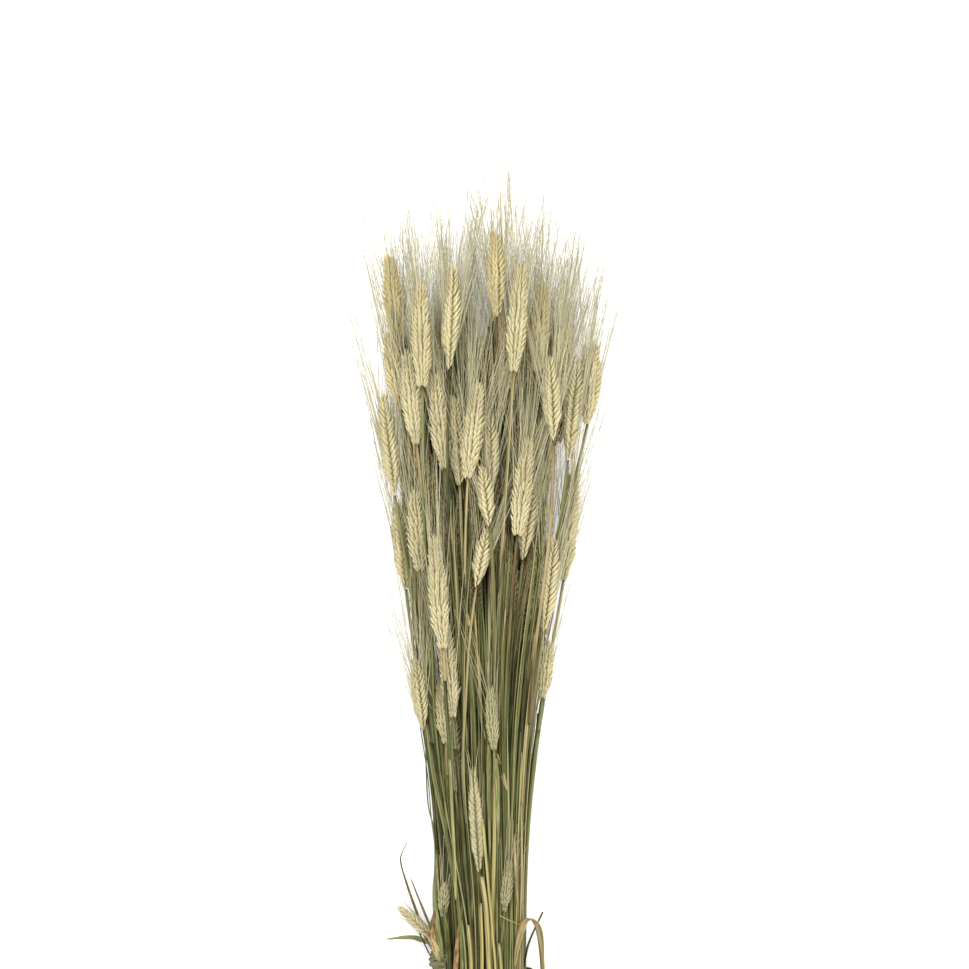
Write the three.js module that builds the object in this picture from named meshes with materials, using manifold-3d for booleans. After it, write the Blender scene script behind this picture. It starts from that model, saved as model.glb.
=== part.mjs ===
// A bunch of dried bearded wheat, tied near its cut ends and lying on its side.
// Millimetres. The tie is round y = 0, the ears lie toward +Y, and z = 0 is the surface under the bunch.
import * as THREE from 'three';
import { mergeVertices } from 'three/addons/utils/BufferGeometryUtils.js';
import Module from 'manifold-3d';

const wasm = await Module();
wasm.setup();

// Driving dimensions.
const BUTT_Y = -103;
const BUTT_JITTER = 12;
const BUTT_SPREAD = 0.15;
const BUTT_LIFT = 0.3;
const STEM_R = 2.5;
const STEM_TOP_R = 1.6;
const STEM_SIDES = 5;
const TAPER_Y = 74;
const TAPER_RUN = 140;
const EAR_R = 6.6;
const EAR_FOOT = 6;
const FULL_EAR = 70;
const SLIM_SHARE = 0.45;
const SPIKELET = 7.4;
const AWN = 60;
const AWN_R = 0.45;
const BRUSH = 50;
const BRUSH_R = 3;
const TIE_A = 36.5;
const TIE_B = 23;
const TIE_THICK = 2;
const TIE_HALF = 7;
const TIE_TURNS = 3;
const TIE_SINK = 0.4;
const NECK_LOW = -9;
const NECK_HIGH = 23;
const ROWS = [5, 9, 10, 10, 9, 5];
const ROW_PITCH = 7.3;
const STEM_PITCH = 7;
const ROW_BAR = [8, 2.4];
const FAN_Y = -46;
const FAN_LATE = 1.5;
const BOW = 4;
const TOP_LAYER = 5;
const HEAP_LOW = 60;
const HEAP_RISE = 24;
const HEAP_Y = 14;
const HEAP_RUN = 420;
const STATION = 18;
const STATIONS = 45;
const GAP = 1.5;
const PASSES = 420;
const HOLD_PASSES = 340;
const STIFF_PASSES = 400;
const STIFF = 0.08;
const LAX = 0.05;
const PUSH = 0.4;
const PULL = 0.12;
const RUN_SLACK = 0.7;
const LIFT_PULL = 0.3;
const CENTRE_Z = TIE_B + TIE_THICK - TIE_SINK;
const KNOT_AT = [-38.5, 9, 28.6];
const KNOT_HALF = [3.4, 9.5, 5.2];
const BLADE_THICK = 0.8;

// One line for each stalk: ear base x and y, sideways run of the ear, ear length, layer, roll in degrees.
const STALKS = [
  [-35, 45, 4, 28, 4, 60],
  [12, 50, 7, 42, 5, 70],
  [-4, 80, -6, 79, 5, 0],
  [15, 171, -7, 50, 5, 80],
  [-20, 195, -6, 73, 5, 70],
  [-26, 246, -12, 86, 5, 85],
  [-10, 291, 11, 47, 5, 0],
  [9, 336, -9, 47, 5, 5],
  [25, 329, 9, 74, 5, 80],
  [-10, 371, 8, 73, 5, 75],
  [-44, 438, -1, 78, 5, 80],
  [-25, 451, 4, 78, 5, 10],
  [23, 449, 6, 83, 5, 90],
  [56, 399, -6, 63, 5, 10],
  [-18, 138, -4, 60, 4, 70],
  [-27, 175, -6, 49, 4, 60],
  [-31, 185, -14, 57, 4, 15],
  [-44, 303, -5, 63, 4, 80],
  [-20, 366, -3, 68, 4, 20],
  [-23, 378, -10, 74, 4, 75],
  [9, 359, -2, 62, 4, 5],
  [30, 311, 8, 66, 4, 10],
  [-51, 396, -5, 71, 4, 70],
  [12, 490, -2, 65, 4, 30],
  [48, 258, 6, 72, 4, 10],
  [45, 208, 4, 45, 4, 80],
  [-64, 466, -6, 73, 3, 60],
  [-62, 421, -8, 60, 3, 80],
  [-65, 358, -6, 78, 3, 0],
  [-57, 288, -6, 69, 3, 0],
  [42, 450, 4, 67, 3, 70],
  [58, 428, 4, 60, 3, 60],
  [69, 384, 4, 79, 3, 0],
  [76, 411, 5, 62, 3, 50],
  [61, 295, 8, 84, 3, 75],
  [-41, 24, -23, 37, 3, 0],
  [-36, 414, -3, 74, 2, 20],
  [-8, 314, 0, 72, 2, 80],
  [14, 419, 2, 76, 2, 40],
  [38, 344, 4, 74, 2, 10],
  [-48, 344, -5, 74, 1, 70],
  [-16, 429, -1, 76, 1, 0],
  [18, 359, 2, 70, 1, 50],
  [52, 414, 5, 74, 1, 20],
  [-34, 409, -4, 78, 0, 0],
  [-10, 339, 0, 74, 0, 60],
  [12, 439, 1, 76, 0, 10],
  [36, 374, 4, 78, 0, 80],
];

let seed = 20;
function random() {
  seed = (Math.imul(seed, 1664525) + 1013904223) >>> 0;
  return seed / 4294967296;
}

function smooth(t) {
  const c = Math.min(1, Math.max(0, t));
  return c * c * (3 - 2 * c);
}

function hermite(a, b, slopeA, slopeB, t) {
  const u = t * t;
  const v = u * t;
  return a * (2 * v - 3 * u + 1) + slopeA * (v - 2 * u + t) + b * (3 * u - 2 * v) + slopeB * (v - u);
}

function earRadius(length) {
  return EAR_R * Math.min(1, SLIM_SHARE + (1 - SLIM_SHARE) * length / FULL_EAR);
}

function stemRadius(y) {
  return STEM_R + (STEM_TOP_R - STEM_R) * smooth((y - TAPER_Y) / TAPER_RUN);
}

function stationY(k) {
  return BUTT_Y + STATION * k;
}

function fan(i) {
  return STALKS[i][0] / (STALKS[i][1] - FAN_Y);
}

// Places in the rows at the tie: the lowest and foremost ears take the top row.
function neckPlaces() {
  const order = STALKS.map((s, i) => i);
  order.sort((a, b) => STALKS[b][4] - STALKS[a][4] || STALKS[a][1] - STALKS[b][1]);
  const places = [];
  let start = 0;
  ROWS.forEach((count, row) => {
    const group = order.slice(start, start + count);
    start += count;
    group.sort((a, b) => fan(a) - fan(b));
    group.forEach((i, c) => {
      const x = (c - (group.length - 1) / 2) * STEM_PITCH;
      const z = CENTRE_Z + ((ROWS.length - 1) / 2 - row) * ROW_PITCH;
      places[i] = { x, z, row };
    });
  });
  return places;
}

// The stalk before settling: a smooth run from its place at the tie, fanning out late, then straight on.
function firstRun(stalk, place) {
  const [x, y, dx, length, layer] = stalk;
  const lean = dx / Math.sqrt(length * length - dx * dx);
  const top = HEAP_LOW + HEAP_RISE * smooth((y - HEAP_Y) / HEAP_RUN);
  const z = EAR_R + (layer / TOP_LAYER) * (top - 2 * EAR_R);
  const points = [];
  for (let k = 0; k < STATIONS; k++) {
    const yk = stationY(k);
    if (yk <= NECK_HIGH) {
      const open = 1 + BUTT_SPREAD * Math.max(0, NECK_LOW - yk) / (NECK_LOW - BUTT_Y);
      points.push([place.x * open, CENTRE_Z + (place.z - CENTRE_Z) * (1 + (open - 1) * BUTT_LIFT)]);
    } else if (yk < y) {
      const t = (yk - NECK_HIGH) / (y - NECK_HIGH);
      const late = t ** FAN_LATE;
      const slope = lean * (y - NECK_HIGH) / FAN_LATE;
      const bow = BOW * (4 * t * (1 - t)) ** 2;
      points.push([hermite(place.x, x, 0, slope, late) - bow, hermite(place.z, z, 0, 0, t)]);
    } else {
      points.push([x + lean * (yk - y), z]);
    }
  }
  return points;
}

// Radius that a stalk keeps clear at a height: stem, ear, and a slim brush of awns above the tip.
function reach(stalk, yk) {
  const [, y, dx, length] = stalk;
  const run = Math.sqrt(length * length - dx * dx);
  if (yk < y - EAR_FOOT) {
    return stemRadius(yk);
  }
  if (yk < y + run * 0.9) {
    return earRadius(length);
  }
  if (yk < y + run + BRUSH) {
    return BRUSH_R;
  }
  return 0;
}

// Stalks that press on each other move apart until all lie side by side.
function settle(runs) {
  const size = STALKS.map((s) => runs[0].map((p, k) => reach(s, stationY(k))));
  const first = runs.map((run) => run.map((p) => p.slice()));
  const fixed = (NECK_HIGH - BUTT_Y) / STATION;
  for (let pass = 0; pass < PASSES; pass++) {
    const hold = pass < HOLD_PASSES ? 1 : 0;
    const bend = pass < STIFF_PASSES ? STIFF : LAX;
    for (let k = fixed + 1; k < STATIONS; k++) {
      const move = runs.map(() => [0, 0]);
      for (let i = 0; i < runs.length; i++) {
        for (let j = i + 1; j < runs.length; j++) {
          const need = size[i][k] + size[j][k] + GAP;
          const dx = runs[j][k][0] - runs[i][k][0];
          const dz = runs[j][k][1] - runs[i][k][1];
          const far = Math.max(0.01, Math.hypot(dx, dz));
          if (size[i][k] && size[j][k] && far < need) {
            const share = PUSH * (need - far) / far;
            move[i][0] -= dx * share;
            move[i][1] -= dz * share;
            move[j][0] += dx * share;
            move[j][1] += dz * share;
          }
        }
      }
      runs.forEach((run, i) => {
        const pull = hold * PULL;
        run[k][0] += move[i][0] + pull * (first[i][k][0] - run[k][0]);
        run[k][1] += move[i][1] + pull * LIFT_PULL * (first[i][k][1] - run[k][1]);
      });
    }
    runs.forEach((run, i) => {
      const old = run.map((p) => p.slice());
      for (let k = fixed + 1; k < STATIONS - 1; k++) {
        run[k][0] += bend * (old[k - 1][0] + old[k + 1][0] - 2 * old[k][0]);
        run[k][1] += bend * (old[k - 1][1] + old[k + 1][1] - 2 * old[k][1]);
        run[k][1] = Math.max(run[k][1], size[i][k] + (size[i][k] > 4 ? -0.5 : 0.6));
      }
    });
  }
  return runs;
}

function along(run, y) {
  const f = Math.min(STATIONS - 1.001, Math.max(0, (y - BUTT_Y) / STATION));
  const k = Math.floor(f);
  const t = f - k;
  return [run[k][0] * (1 - t) + run[k + 1][0] * t, run[k][1] * (1 - t) + run[k + 1][1] * t];
}

const places = neckPlaces();
const runs = settle(STALKS.map((s, i) => firstRun(s, places[i])));

function solid(geometry) {
  geometry.deleteAttribute('normal');
  geometry.deleteAttribute('uv');
  const merged = mergeVertices(geometry, 1e-4);
  const vertProperties = new Float32Array(merged.attributes.position.array);
  const triVerts = new Uint32Array(merged.index.array);
  return new wasm.Manifold(new wasm.Mesh({ numProp: 3, vertProperties, triVerts }));
}

function toGeometry(body) {
  const mesh = body.getMesh();
  const geometry = new THREE.BufferGeometry();
  geometry.setAttribute('position', new THREE.BufferAttribute(new Float32Array(mesh.vertProperties), 3));
  geometry.setIndex(new THREE.BufferAttribute(new Uint32Array(mesh.triVerts), 1));
  geometry.computeVertexNormals();
  return geometry;
}

// The outer skin alone: small pockets where grains meet are filled.
function filled(body) {
  return body.decompose().reduce((a, b) => (b.volume() > a.volume() ? b : a));
}

function shape(geometry, place) {
  const p = geometry.attributes.position;
  for (let i = 0; i < p.count; i++) {
    const q = place(p.getX(i), p.getY(i), p.getZ(i));
    p.setXYZ(i, q[0], q[1], q[2]);
  }
  return geometry;
}

// Fewest points that stay close to the full run.
function thin(points, limit) {
  const a = points[0];
  const b = points[points.length - 1];
  let worst = 0;
  let at = 0;
  for (let i = 1; i < points.length - 1; i++) {
    const t = (points[i][1] - a[1]) / (b[1] - a[1]);
    const off = Math.hypot(a[0] + (b[0] - a[0]) * t - points[i][0], a[2] + (b[2] - a[2]) * t - points[i][2]);
    if (off > worst) {
      worst = off;
      at = i;
    }
  }
  if (worst < limit) {
    return [a, b];
  }
  return thin(points.slice(0, at + 1), limit).concat(thin(points.slice(at), limit).slice(1));
}

function stemPoints(i) {
  const [, y, dx, length] = STALKS[i];
  const low = BUTT_Y + BUTT_JITTER * random();
  const end = y - 0.3 - 2.4 * Math.abs(dx) / length;
  const points = [[...along(runs[i], low), low]];
  for (let k = 1; k < STATIONS && stationY(k) < y - 4; k++) {
    if (stationY(k) > low + 1) {
      points.push([...runs[i][k], stationY(k)]);
    }
  }
  points.push([...along(runs[i], end), end]);
  return points.map(([x, z, yk]) => [x, yk, z]);
}

function stem(i) {
  const rings = thin(stemPoints(i), RUN_SLACK);
  const segments = rings.length - 1;
  const turn = random() * 6;
  const tube = new THREE.CylinderGeometry(1, 1, segments, STEM_SIDES, segments);
  shape(tube, (x, y, z) => {
    const c = rings[Math.round(y + segments / 2)];
    const r = Math.hypot(x, z) * stemRadius(c[1]);
    const angle = Math.atan2(z, x) + turn;
    return [c[0] + r * Math.cos(angle), c[1], c[2] + r * Math.sin(angle)];
  });
  return solid(tube);
}

// A small bar under the tie joins the stems of one row.
function stemRow(row) {
  const members = STALKS.map((s, i) => i).filter((i) => places[i].row === row);
  const first = places[members[0]];
  const half = (members.length - 1) / 2 * STEM_PITCH;
  const bar = new THREE.BoxGeometry(2 * half, ...ROW_BAR);
  bar.translate(0, 0, first.z);
  return members.reduce((body, i) => body.add(stem(i)), solid(bar));
}

const beard = [];

function clear(from, to, own) {
  for (let s = 0; s <= 8; s++) {
    const t = s / 8;
    const x = from.x + (to.x - from.x) * t;
    const y = from.y + (to.y - from.y) * t;
    const z = from.z + (to.z - from.z) * t;
    if (z < 0.9) {
      return false;
    }
    for (let j = 0; j < STALKS.length; j++) {
      const r = reach(STALKS[j], y);
      const top = STALKS[j][1] + STALKS[j][3];
      if (j !== own && r && y < top + 3) {
        const c = along(runs[j], y);
        if (Math.hypot(x - c[0], z - c[1]) < r + 1) {
          return false;
        }
      }
    }
    for (const b of beard) {
      const u = (y - b.from.y) / (b.to.y - b.from.y);
      if (b.own !== own && u > -0.05 && u < 1.05) {
        const gx = b.from.x + (b.to.x - b.from.x) * u - x;
        const gz = b.from.z + (b.to.z - b.from.z) * u - z;
        if (Math.hypot(gx, gz) < 1.5) {
          return false;
        }
      }
    }
  }
  return true;
}

// One awn from a spikelet: as long and as spread as the stalks around leave room for.
function awn(root, axis, out, own) {
  for (const length of [1, 0.75, 0.5]) {
    for (const spread of [0.1, 0.05, 0.17, 0, -0.04]) {
      const long = AWN * Math.min(1, STALKS[own][3] / 60) * length * (0.85 + 0.3 * random());
      const way = axis.clone().addScaledVector(out, spread).normalize();
      const to = root.clone().addScaledVector(way, long);
      if (clear(root, to, own)) {
        beard.push({ from: root, to, own });
        const cone = new THREE.ConeGeometry(AWN_R, long, 3, 1);
        cone.translate(0, long / 2, 0);
        cone.applyQuaternion(new THREE.Quaternion().setFromUnitVectors(THREE.Object3D.DEFAULT_UP, way));
        cone.translate(root.x, root.y, root.z);
        return [solid(cone)];
      }
    }
  }
  return [];
}

// An ear: two ranks of spikelets bulge by turns on either side, and awns rise from the upper ones.
function ear(i) {
  const [, y, dx, length, layer, roll] = STALKS[i];
  const run = Math.sqrt(length * length - dx * dx);
  const low = along(runs[i], y);
  const high = along(runs[i], y + run);
  const foot = new THREE.Vector3(low[0], y, low[1]);
  const axis = new THREE.Vector3(high[0], y + run, high[1]).sub(foot).normalize();
  const side = axis.clone().cross(new THREE.Vector3(0, 0, 1)).normalize();
  side.applyAxisAngle(axis, roll * Math.PI / 180);
  const face = side.clone().cross(axis);
  const radius = earRadius(length);
  const rings = Math.max(6, Math.round(length / SPIKELET));
  const pitch = length / rings;
  const fat = (t) => radius * (t < 1 ? 0.5 + 0.5 * Math.sin(Math.PI * (0.1 + 0.72 * t)) ** 0.6 : 0.2);
  const spot = (across, up, deep) => {
    const q = foot.clone().addScaledVector(side, across).addScaledVector(axis, up);
    return q.addScaledVector(face, deep);
  };
  const body = new THREE.CylinderGeometry(1, 1, rings, 6, rings);
  shape(body, (x, h, z) => {
    const ring = Math.round(h + rings / 2);
    const inner = ring > 0 && ring < rings;
    const angle = Math.atan2(x, z) - Math.PI / 6;
    const bulge = (Math.sin(angle) > 0) === (ring % 2 === 0);
    const r = Math.hypot(x, z) * fat(ring / rings) * (inner && !bulge ? 0.66 : 1) * (ring ? 1 : 0.45);
    const lift = inner ? pitch * (0.7 * Math.sin(angle) ** 2 + (bulge ? 0.25 : 0)) : 0;
    const q = spot(r * Math.sin(angle), ring * pitch + lift, r * 0.88 * Math.cos(angle));
    return [q.x, q.y, q.z];
  });
  const parts = [solid(body)];
  const awns = layer < 3 ? 5 : 8;
  for (let n = Math.max(1, rings - awns); n < rings; n++) {
    const hand = n % 2 === 0 ? 1 : -1;
    const out = side.clone().multiplyScalar(hand).addScaledVector(face, (random() - 0.5) * 1.6);
    const root = spot(hand * fat(n / rings) * 0.82, (n + 0.6) * pitch, 0);
    parts.push(...awn(root, axis, out, i));
  }
  const whole = parts.reduce((a, b) => a.add(b));
  return filled(whole.trimByPlane([0, 0, 1], 0));
}

// The tie: turns of a flat strip round an oval of stems, with a knot at the left.
function tie() {
  const turn = TIE_HALF * 2 / TIE_TURNS;
  const profile = [[0, -TIE_HALF], [0, TIE_HALF]];
  for (let n = TIE_TURNS - 1; n >= 0; n--) {
    const c = -TIE_HALF + turn * (n + 0.5);
    profile.push([TIE_THICK, c + turn * 0.3], [TIE_THICK, c - turn * 0.3]);
    if (n) {
      profile.push([TIE_THICK * 0.5, c - turn * 0.5]);
    }
  }
  profile.push(profile[0]);
  const points = profile.reverse().map(([t, y]) => new THREE.Vector2(100 + t, y));
  const ring = new THREE.LatheGeometry(points, 20, Math.PI / 20);
  shape(ring, (x, y, z) => {
    const angle = Math.atan2(x, z);
    const t = Math.hypot(x, z) - 100;
    const normal = new THREE.Vector2(Math.sin(angle) / TIE_A, Math.cos(angle) / TIE_B).normalize();
    const lift = CENTRE_Z + TIE_B * Math.cos(angle) + normal.y * t;
    return [TIE_A * Math.sin(angle) + normal.x * t, y, lift];
  });
  const knot = new THREE.SphereGeometry(1, 8, 5);
  knot.scale(...KNOT_HALF);
  knot.translate(...KNOT_AT);
  return solid(ring).add(solid(knot)).trimByPlane([0, 0, 1], 0);
}

// A dried blade: a thin strip along its run, narrow at both ends, turned toward one side.
function blade(points, width, turned) {
  const path = new THREE.CatmullRomCurve3(points.map((p) => new THREE.Vector3(...p)));
  const steps = points.length + 3;
  const strip = new THREE.BoxGeometry(1, steps, BLADE_THICK, 1, steps, 1);
  shape(strip, (x, y, z) => {
    const t = Math.round(y + steps / 2) / steps;
    const way = path.getTangentAt(t);
    const across = new THREE.Vector3(...turned).addScaledVector(way, -way.dot(new THREE.Vector3(...turned)));
    const up = across.normalize().clone().cross(way);
    const wide = width * Math.min(1, 0.35 + 3 * t) * Math.sqrt(Math.max(0.06, 1 - t));
    const q = path.getPointAt(t).addScaledVector(across, x * wide).addScaledVector(up, z);
    return [q.x, q.y, q.z];
  });
  return solid(strip);
}

const BLADES = [
  {
    points: [
      [24, 8, 39.8], [26, 26, 44], [30, 40, 48], [35, 46, 48.5], [41, 41, 46.5], [44, 28, 43],
      [45, 8, 36], [47, -26, 24], [50, -61, 12],
    ],
    width: 9,
    turned: [0.6, 0, 0.8],
  },
  {
    points: [[-37.5, 19.6, 24], [-44, 31, 13], [-50, 48, 10], [-57, 69, 14], [-61, 87, 20], [-56, 100, 25]],
    width: 3.4,
    turned: [1, 0.3, 0.2],
  },
  { points: [[-33, 26, 37], [-42, 48, 43], [-53, 76, 47]], width: 3.4, turned: [1, 0.3, 0.2] },
  { points: [[-39.5, 24, 22], [-52, 28, 19], [-72, 26, 13]], width: 4.5, turned: [0, 1, 0.2] },
];

const group = new THREE.Group();

function put(name, body, color, roughness) {
  const material = new THREE.MeshStandardMaterial({ color, roughness, metalness: 0 });
  const mesh = new THREE.Mesh(toGeometry(body), material);
  mesh.name = name;
  group.add(mesh);
}

ROWS.forEach((count, row) => put(`stems_${row + 1}`, stemRow(row), row % 2 ? '#a39a5c' : '#8f8a4c', 0.75));
STALKS.forEach((s, i) => {
  const name = `ear_${String(i + 1).padStart(2, '0')}`;
  put(name, ear(i), i % 3 ? '#d9c48a' : '#cdb778', 0.8);
});
put('tie', tie(), '#77805c', 0.85);
BLADES.forEach(({ points, width, turned }, n) => {
  put(`leaf_${n + 1}`, blade(points, width, turned), '#b39a68', 0.8);
});

export default group;
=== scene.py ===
"""Dresses a tied bunch of dried bearded wheat: husked ears, straw, dry blades and a wound tie."""
import math
import random

import bmesh
import bpy
import numpy as np
from bpy.props import FloatProperty, FloatVectorProperty, IntProperty, PointerProperty
from mathutils import Matrix, Vector


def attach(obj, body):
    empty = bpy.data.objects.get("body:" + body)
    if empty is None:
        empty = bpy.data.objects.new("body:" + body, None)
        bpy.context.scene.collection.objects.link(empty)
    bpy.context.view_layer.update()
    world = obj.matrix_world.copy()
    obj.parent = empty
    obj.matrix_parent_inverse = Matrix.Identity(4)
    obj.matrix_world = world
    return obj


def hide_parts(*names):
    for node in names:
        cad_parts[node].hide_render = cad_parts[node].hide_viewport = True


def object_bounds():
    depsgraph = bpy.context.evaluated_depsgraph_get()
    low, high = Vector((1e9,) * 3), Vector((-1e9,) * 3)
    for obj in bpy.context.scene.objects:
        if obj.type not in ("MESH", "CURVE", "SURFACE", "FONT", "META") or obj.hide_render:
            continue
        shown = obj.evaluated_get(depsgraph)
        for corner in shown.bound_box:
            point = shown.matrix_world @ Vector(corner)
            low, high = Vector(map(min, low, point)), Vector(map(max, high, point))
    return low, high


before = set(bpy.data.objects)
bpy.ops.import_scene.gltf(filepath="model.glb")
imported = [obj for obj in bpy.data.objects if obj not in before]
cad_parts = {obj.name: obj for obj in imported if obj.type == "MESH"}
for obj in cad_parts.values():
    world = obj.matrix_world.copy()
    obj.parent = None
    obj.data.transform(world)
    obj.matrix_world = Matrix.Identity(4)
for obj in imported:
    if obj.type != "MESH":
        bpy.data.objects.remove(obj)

bl_info = {
    "name": "Dried Wheat Bunch",
    "version": (1, 0, 0),
    "blender": (4, 5, 0),
    "location": "View3D > Sidebar > Wheat",
    "description": "Husked ears, straw, dry blades and a wound tie for a lying bunch of wheat",
    "category": "Object",
}

CAD_BOX = [list(corner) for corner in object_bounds()]
MM = 0.001

# The lay of the stalks, in millimetres: the same values and rule that place the solid stems and ears.
BUTT_Y = -103
STATION = 18
STATIONS = 45
STEM_R = 2.5
STEM_TOP_R = 1.6
EAR_R = 6.6
GAP = 1.5
ROWS = (5, 9, 10, 10, 9, 5)
ROW_PITCH = 7.3
STEM_PITCH = 7.0
TIE_A = 36.5
TIE_B = 23.0
TIE_THICK = 2.0
CENTRE_Z = TIE_B + TIE_THICK - 0.4
NECK_LOW = -9
NECK_HIGH = 23
BUTT_SPREAD = 0.15
BUTT_LIFT = 0.3
TAPER_Y = 74
TAPER_RUN = 140
FAN_Y = -46
FAN_LATE = 1.5
BOW = 4
HEAP_LOW = 60
HEAP_RISE = 24
HEAP_Y = 14
HEAP_RUN = 420
TOP_LAYER = 5
# What a stalk keeps clear: where its ear starts to count below the foot, how far up the ear is full, and the
# radius and length of its brush of awns.
EAR_FOOT = 6
EAR_FULL = 0.9
BRUSH_R = 3.0
BRUSH_LONG = 50
# How stalks settle: rounds in all, rounds that are drawn back to their first run, and rounds that bend easily;
# the share of a press that one round takes up; the draw back in x and z; and the two bends.
SETTLE_ROUNDS = 420
DRAWN_ROUNDS = 340
EASY_ROUNDS = 400
PRESS = 0.4
DRAW_BACK = 0.12 * np.array((1.0, 0.3))
EASY_BEND = 0.08
LATE_BEND = 0.05
# A stalk wider than this is an ear, which may sink that much into the floor; a stem stays clear of it.
EAR_LEAST = 4
EAR_SINK = 0.5
STEM_LIFT = 0.6

# One line for each stalk: ear base x and y, sideways run of the ear, ear length, layer, roll in degrees.
STALKS = (
    (-35, 45, 4, 28, 4, 60),
    (12, 50, 7, 42, 5, 70),
    (-4, 80, -6, 79, 5, 0),
    (15, 171, -7, 50, 5, 80),
    (-20, 195, -6, 73, 5, 70),
    (-26, 246, -12, 86, 5, 85),
    (-10, 291, 11, 47, 5, 0),
    (9, 336, -9, 47, 5, 5),
    (25, 329, 9, 74, 5, 80),
    (-10, 371, 8, 73, 5, 75),
    (-44, 438, -1, 78, 5, 80),
    (-25, 451, 4, 78, 5, 10),
    (23, 449, 6, 83, 5, 90),
    (56, 399, -6, 63, 5, 10),
    (-18, 138, -4, 60, 4, 70),
    (-27, 175, -6, 49, 4, 60),
    (-31, 185, -14, 57, 4, 15),
    (-44, 303, -5, 63, 4, 80),
    (-20, 366, -3, 68, 4, 20),
    (-23, 378, -10, 74, 4, 75),
    (9, 359, -2, 62, 4, 5),
    (30, 311, 8, 66, 4, 10),
    (-51, 396, -5, 71, 4, 70),
    (12, 490, -2, 65, 4, 30),
    (48, 258, 6, 72, 4, 10),
    (45, 208, 4, 45, 4, 80),
    (-64, 466, -6, 73, 3, 60),
    (-62, 421, -8, 60, 3, 80),
    (-65, 358, -6, 78, 3, 0),
    (-57, 288, -6, 69, 3, 0),
    (42, 450, 4, 67, 3, 70),
    (58, 428, 4, 60, 3, 60),
    (69, 384, 4, 79, 3, 0),
    (76, 411, 5, 62, 3, 50),
    (61, 295, 8, 84, 3, 75),
    (-41, 24, -23, 37, 3, 0),
    (-36, 414, -3, 74, 2, 20),
    (-8, 314, 0, 72, 2, 80),
    (14, 419, 2, 76, 2, 40),
    (38, 344, 4, 74, 2, 10),
    (-48, 344, -5, 74, 1, 70),
    (-16, 429, -1, 76, 1, 0),
    (18, 359, 2, 70, 1, 50),
    (52, 414, 5, 74, 1, 20),
    (-34, 409, -4, 78, 0, 0),
    (-10, 339, 0, 74, 0, 60),
    (12, 439, 1, 76, 0, 10),
    (36, 374, 4, 78, 0, 80),
)


def smooth(t):
    """An even ease from 0 to 1."""
    c = min(1.0, max(0.0, t))
    return c * c * (3 - 2 * c)


def hermite(a, b, slope_a, slope_b, t):
    """A cubic from a to b with given slopes."""
    u = t * t
    v = u * t
    return a * (2 * v - 3 * u + 1) + slope_a * (v - 2 * u + t) + b * (3 * u - 2 * v) + slope_b * (v - u)


def ear_radius(length):
    """Half the width of an ear of that length."""
    return EAR_R * min(1.0, 0.45 + 0.55 * length / 70)


def ear_rise(stalk):
    """How far an ear runs along +Y."""
    return math.sqrt(stalk[3] ** 2 - stalk[2] ** 2)


def neck_places():
    """Each stalk's x, z and row at the tie: the lowest and foremost ears take the top row."""
    order = sorted(range(len(STALKS)), key=lambda i: (-STALKS[i][4], STALKS[i][1]))
    places = {}
    start = 0
    for row, count in enumerate(ROWS):
        group = sorted(order[start:start + count], key=lambda i: STALKS[i][0] / (STALKS[i][1] - FAN_Y))
        start += count
        for column, i in enumerate(group):
            x = (column - (len(group) - 1) / 2) * STEM_PITCH
            z = CENTRE_Z + ((len(ROWS) - 1) / 2 - row) * ROW_PITCH
            places[i] = (x, z, row)
    return places


def first_run(stalk, place):
    """The stalk before settling: a smooth run from the tie, fanning out late, then straight up its ear."""
    x, y, dx, _, layer, _ = stalk
    lean = dx / ear_rise(stalk)
    top = HEAP_LOW + HEAP_RISE * smooth((y - HEAP_Y) / HEAP_RUN)
    z = EAR_R + (layer / TOP_LAYER) * (top - 2 * EAR_R)
    points = []
    for k in range(STATIONS):
        yk = BUTT_Y + STATION * k
        if yk <= NECK_HIGH:
            opened = 1 + BUTT_SPREAD * max(0, NECK_LOW - yk) / (NECK_LOW - BUTT_Y)
            lifted = 1 + (opened - 1) * BUTT_LIFT
            points.append((place[0] * opened, CENTRE_Z + (place[1] - CENTRE_Z) * lifted))
        elif yk < y:
            t = (yk - NECK_HIGH) / (y - NECK_HIGH)
            late = t ** FAN_LATE
            slope = lean * (y - NECK_HIGH) / FAN_LATE
            bow = BOW * (4 * t * (1 - t)) ** 2
            points.append((hermite(place[0], x, 0, slope, late) - bow, hermite(place[1], z, 0, 0, t)))
        else:
            points.append((x + lean * (yk - y), z))
    return points


def reach(stalk, yk):
    """Radius that a stalk keeps clear at a height: stem, ear, and a slim brush of awns."""
    rise = ear_rise(stalk)
    if yk < stalk[1] - EAR_FOOT:
        return STEM_R + (STEM_TOP_R - STEM_R) * smooth((yk - TAPER_Y) / TAPER_RUN)
    if yk < stalk[1] + rise * EAR_FULL:
        return ear_radius(stalk[3])
    return BRUSH_R if yk < stalk[1] + rise + BRUSH_LONG else 0.0


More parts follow.
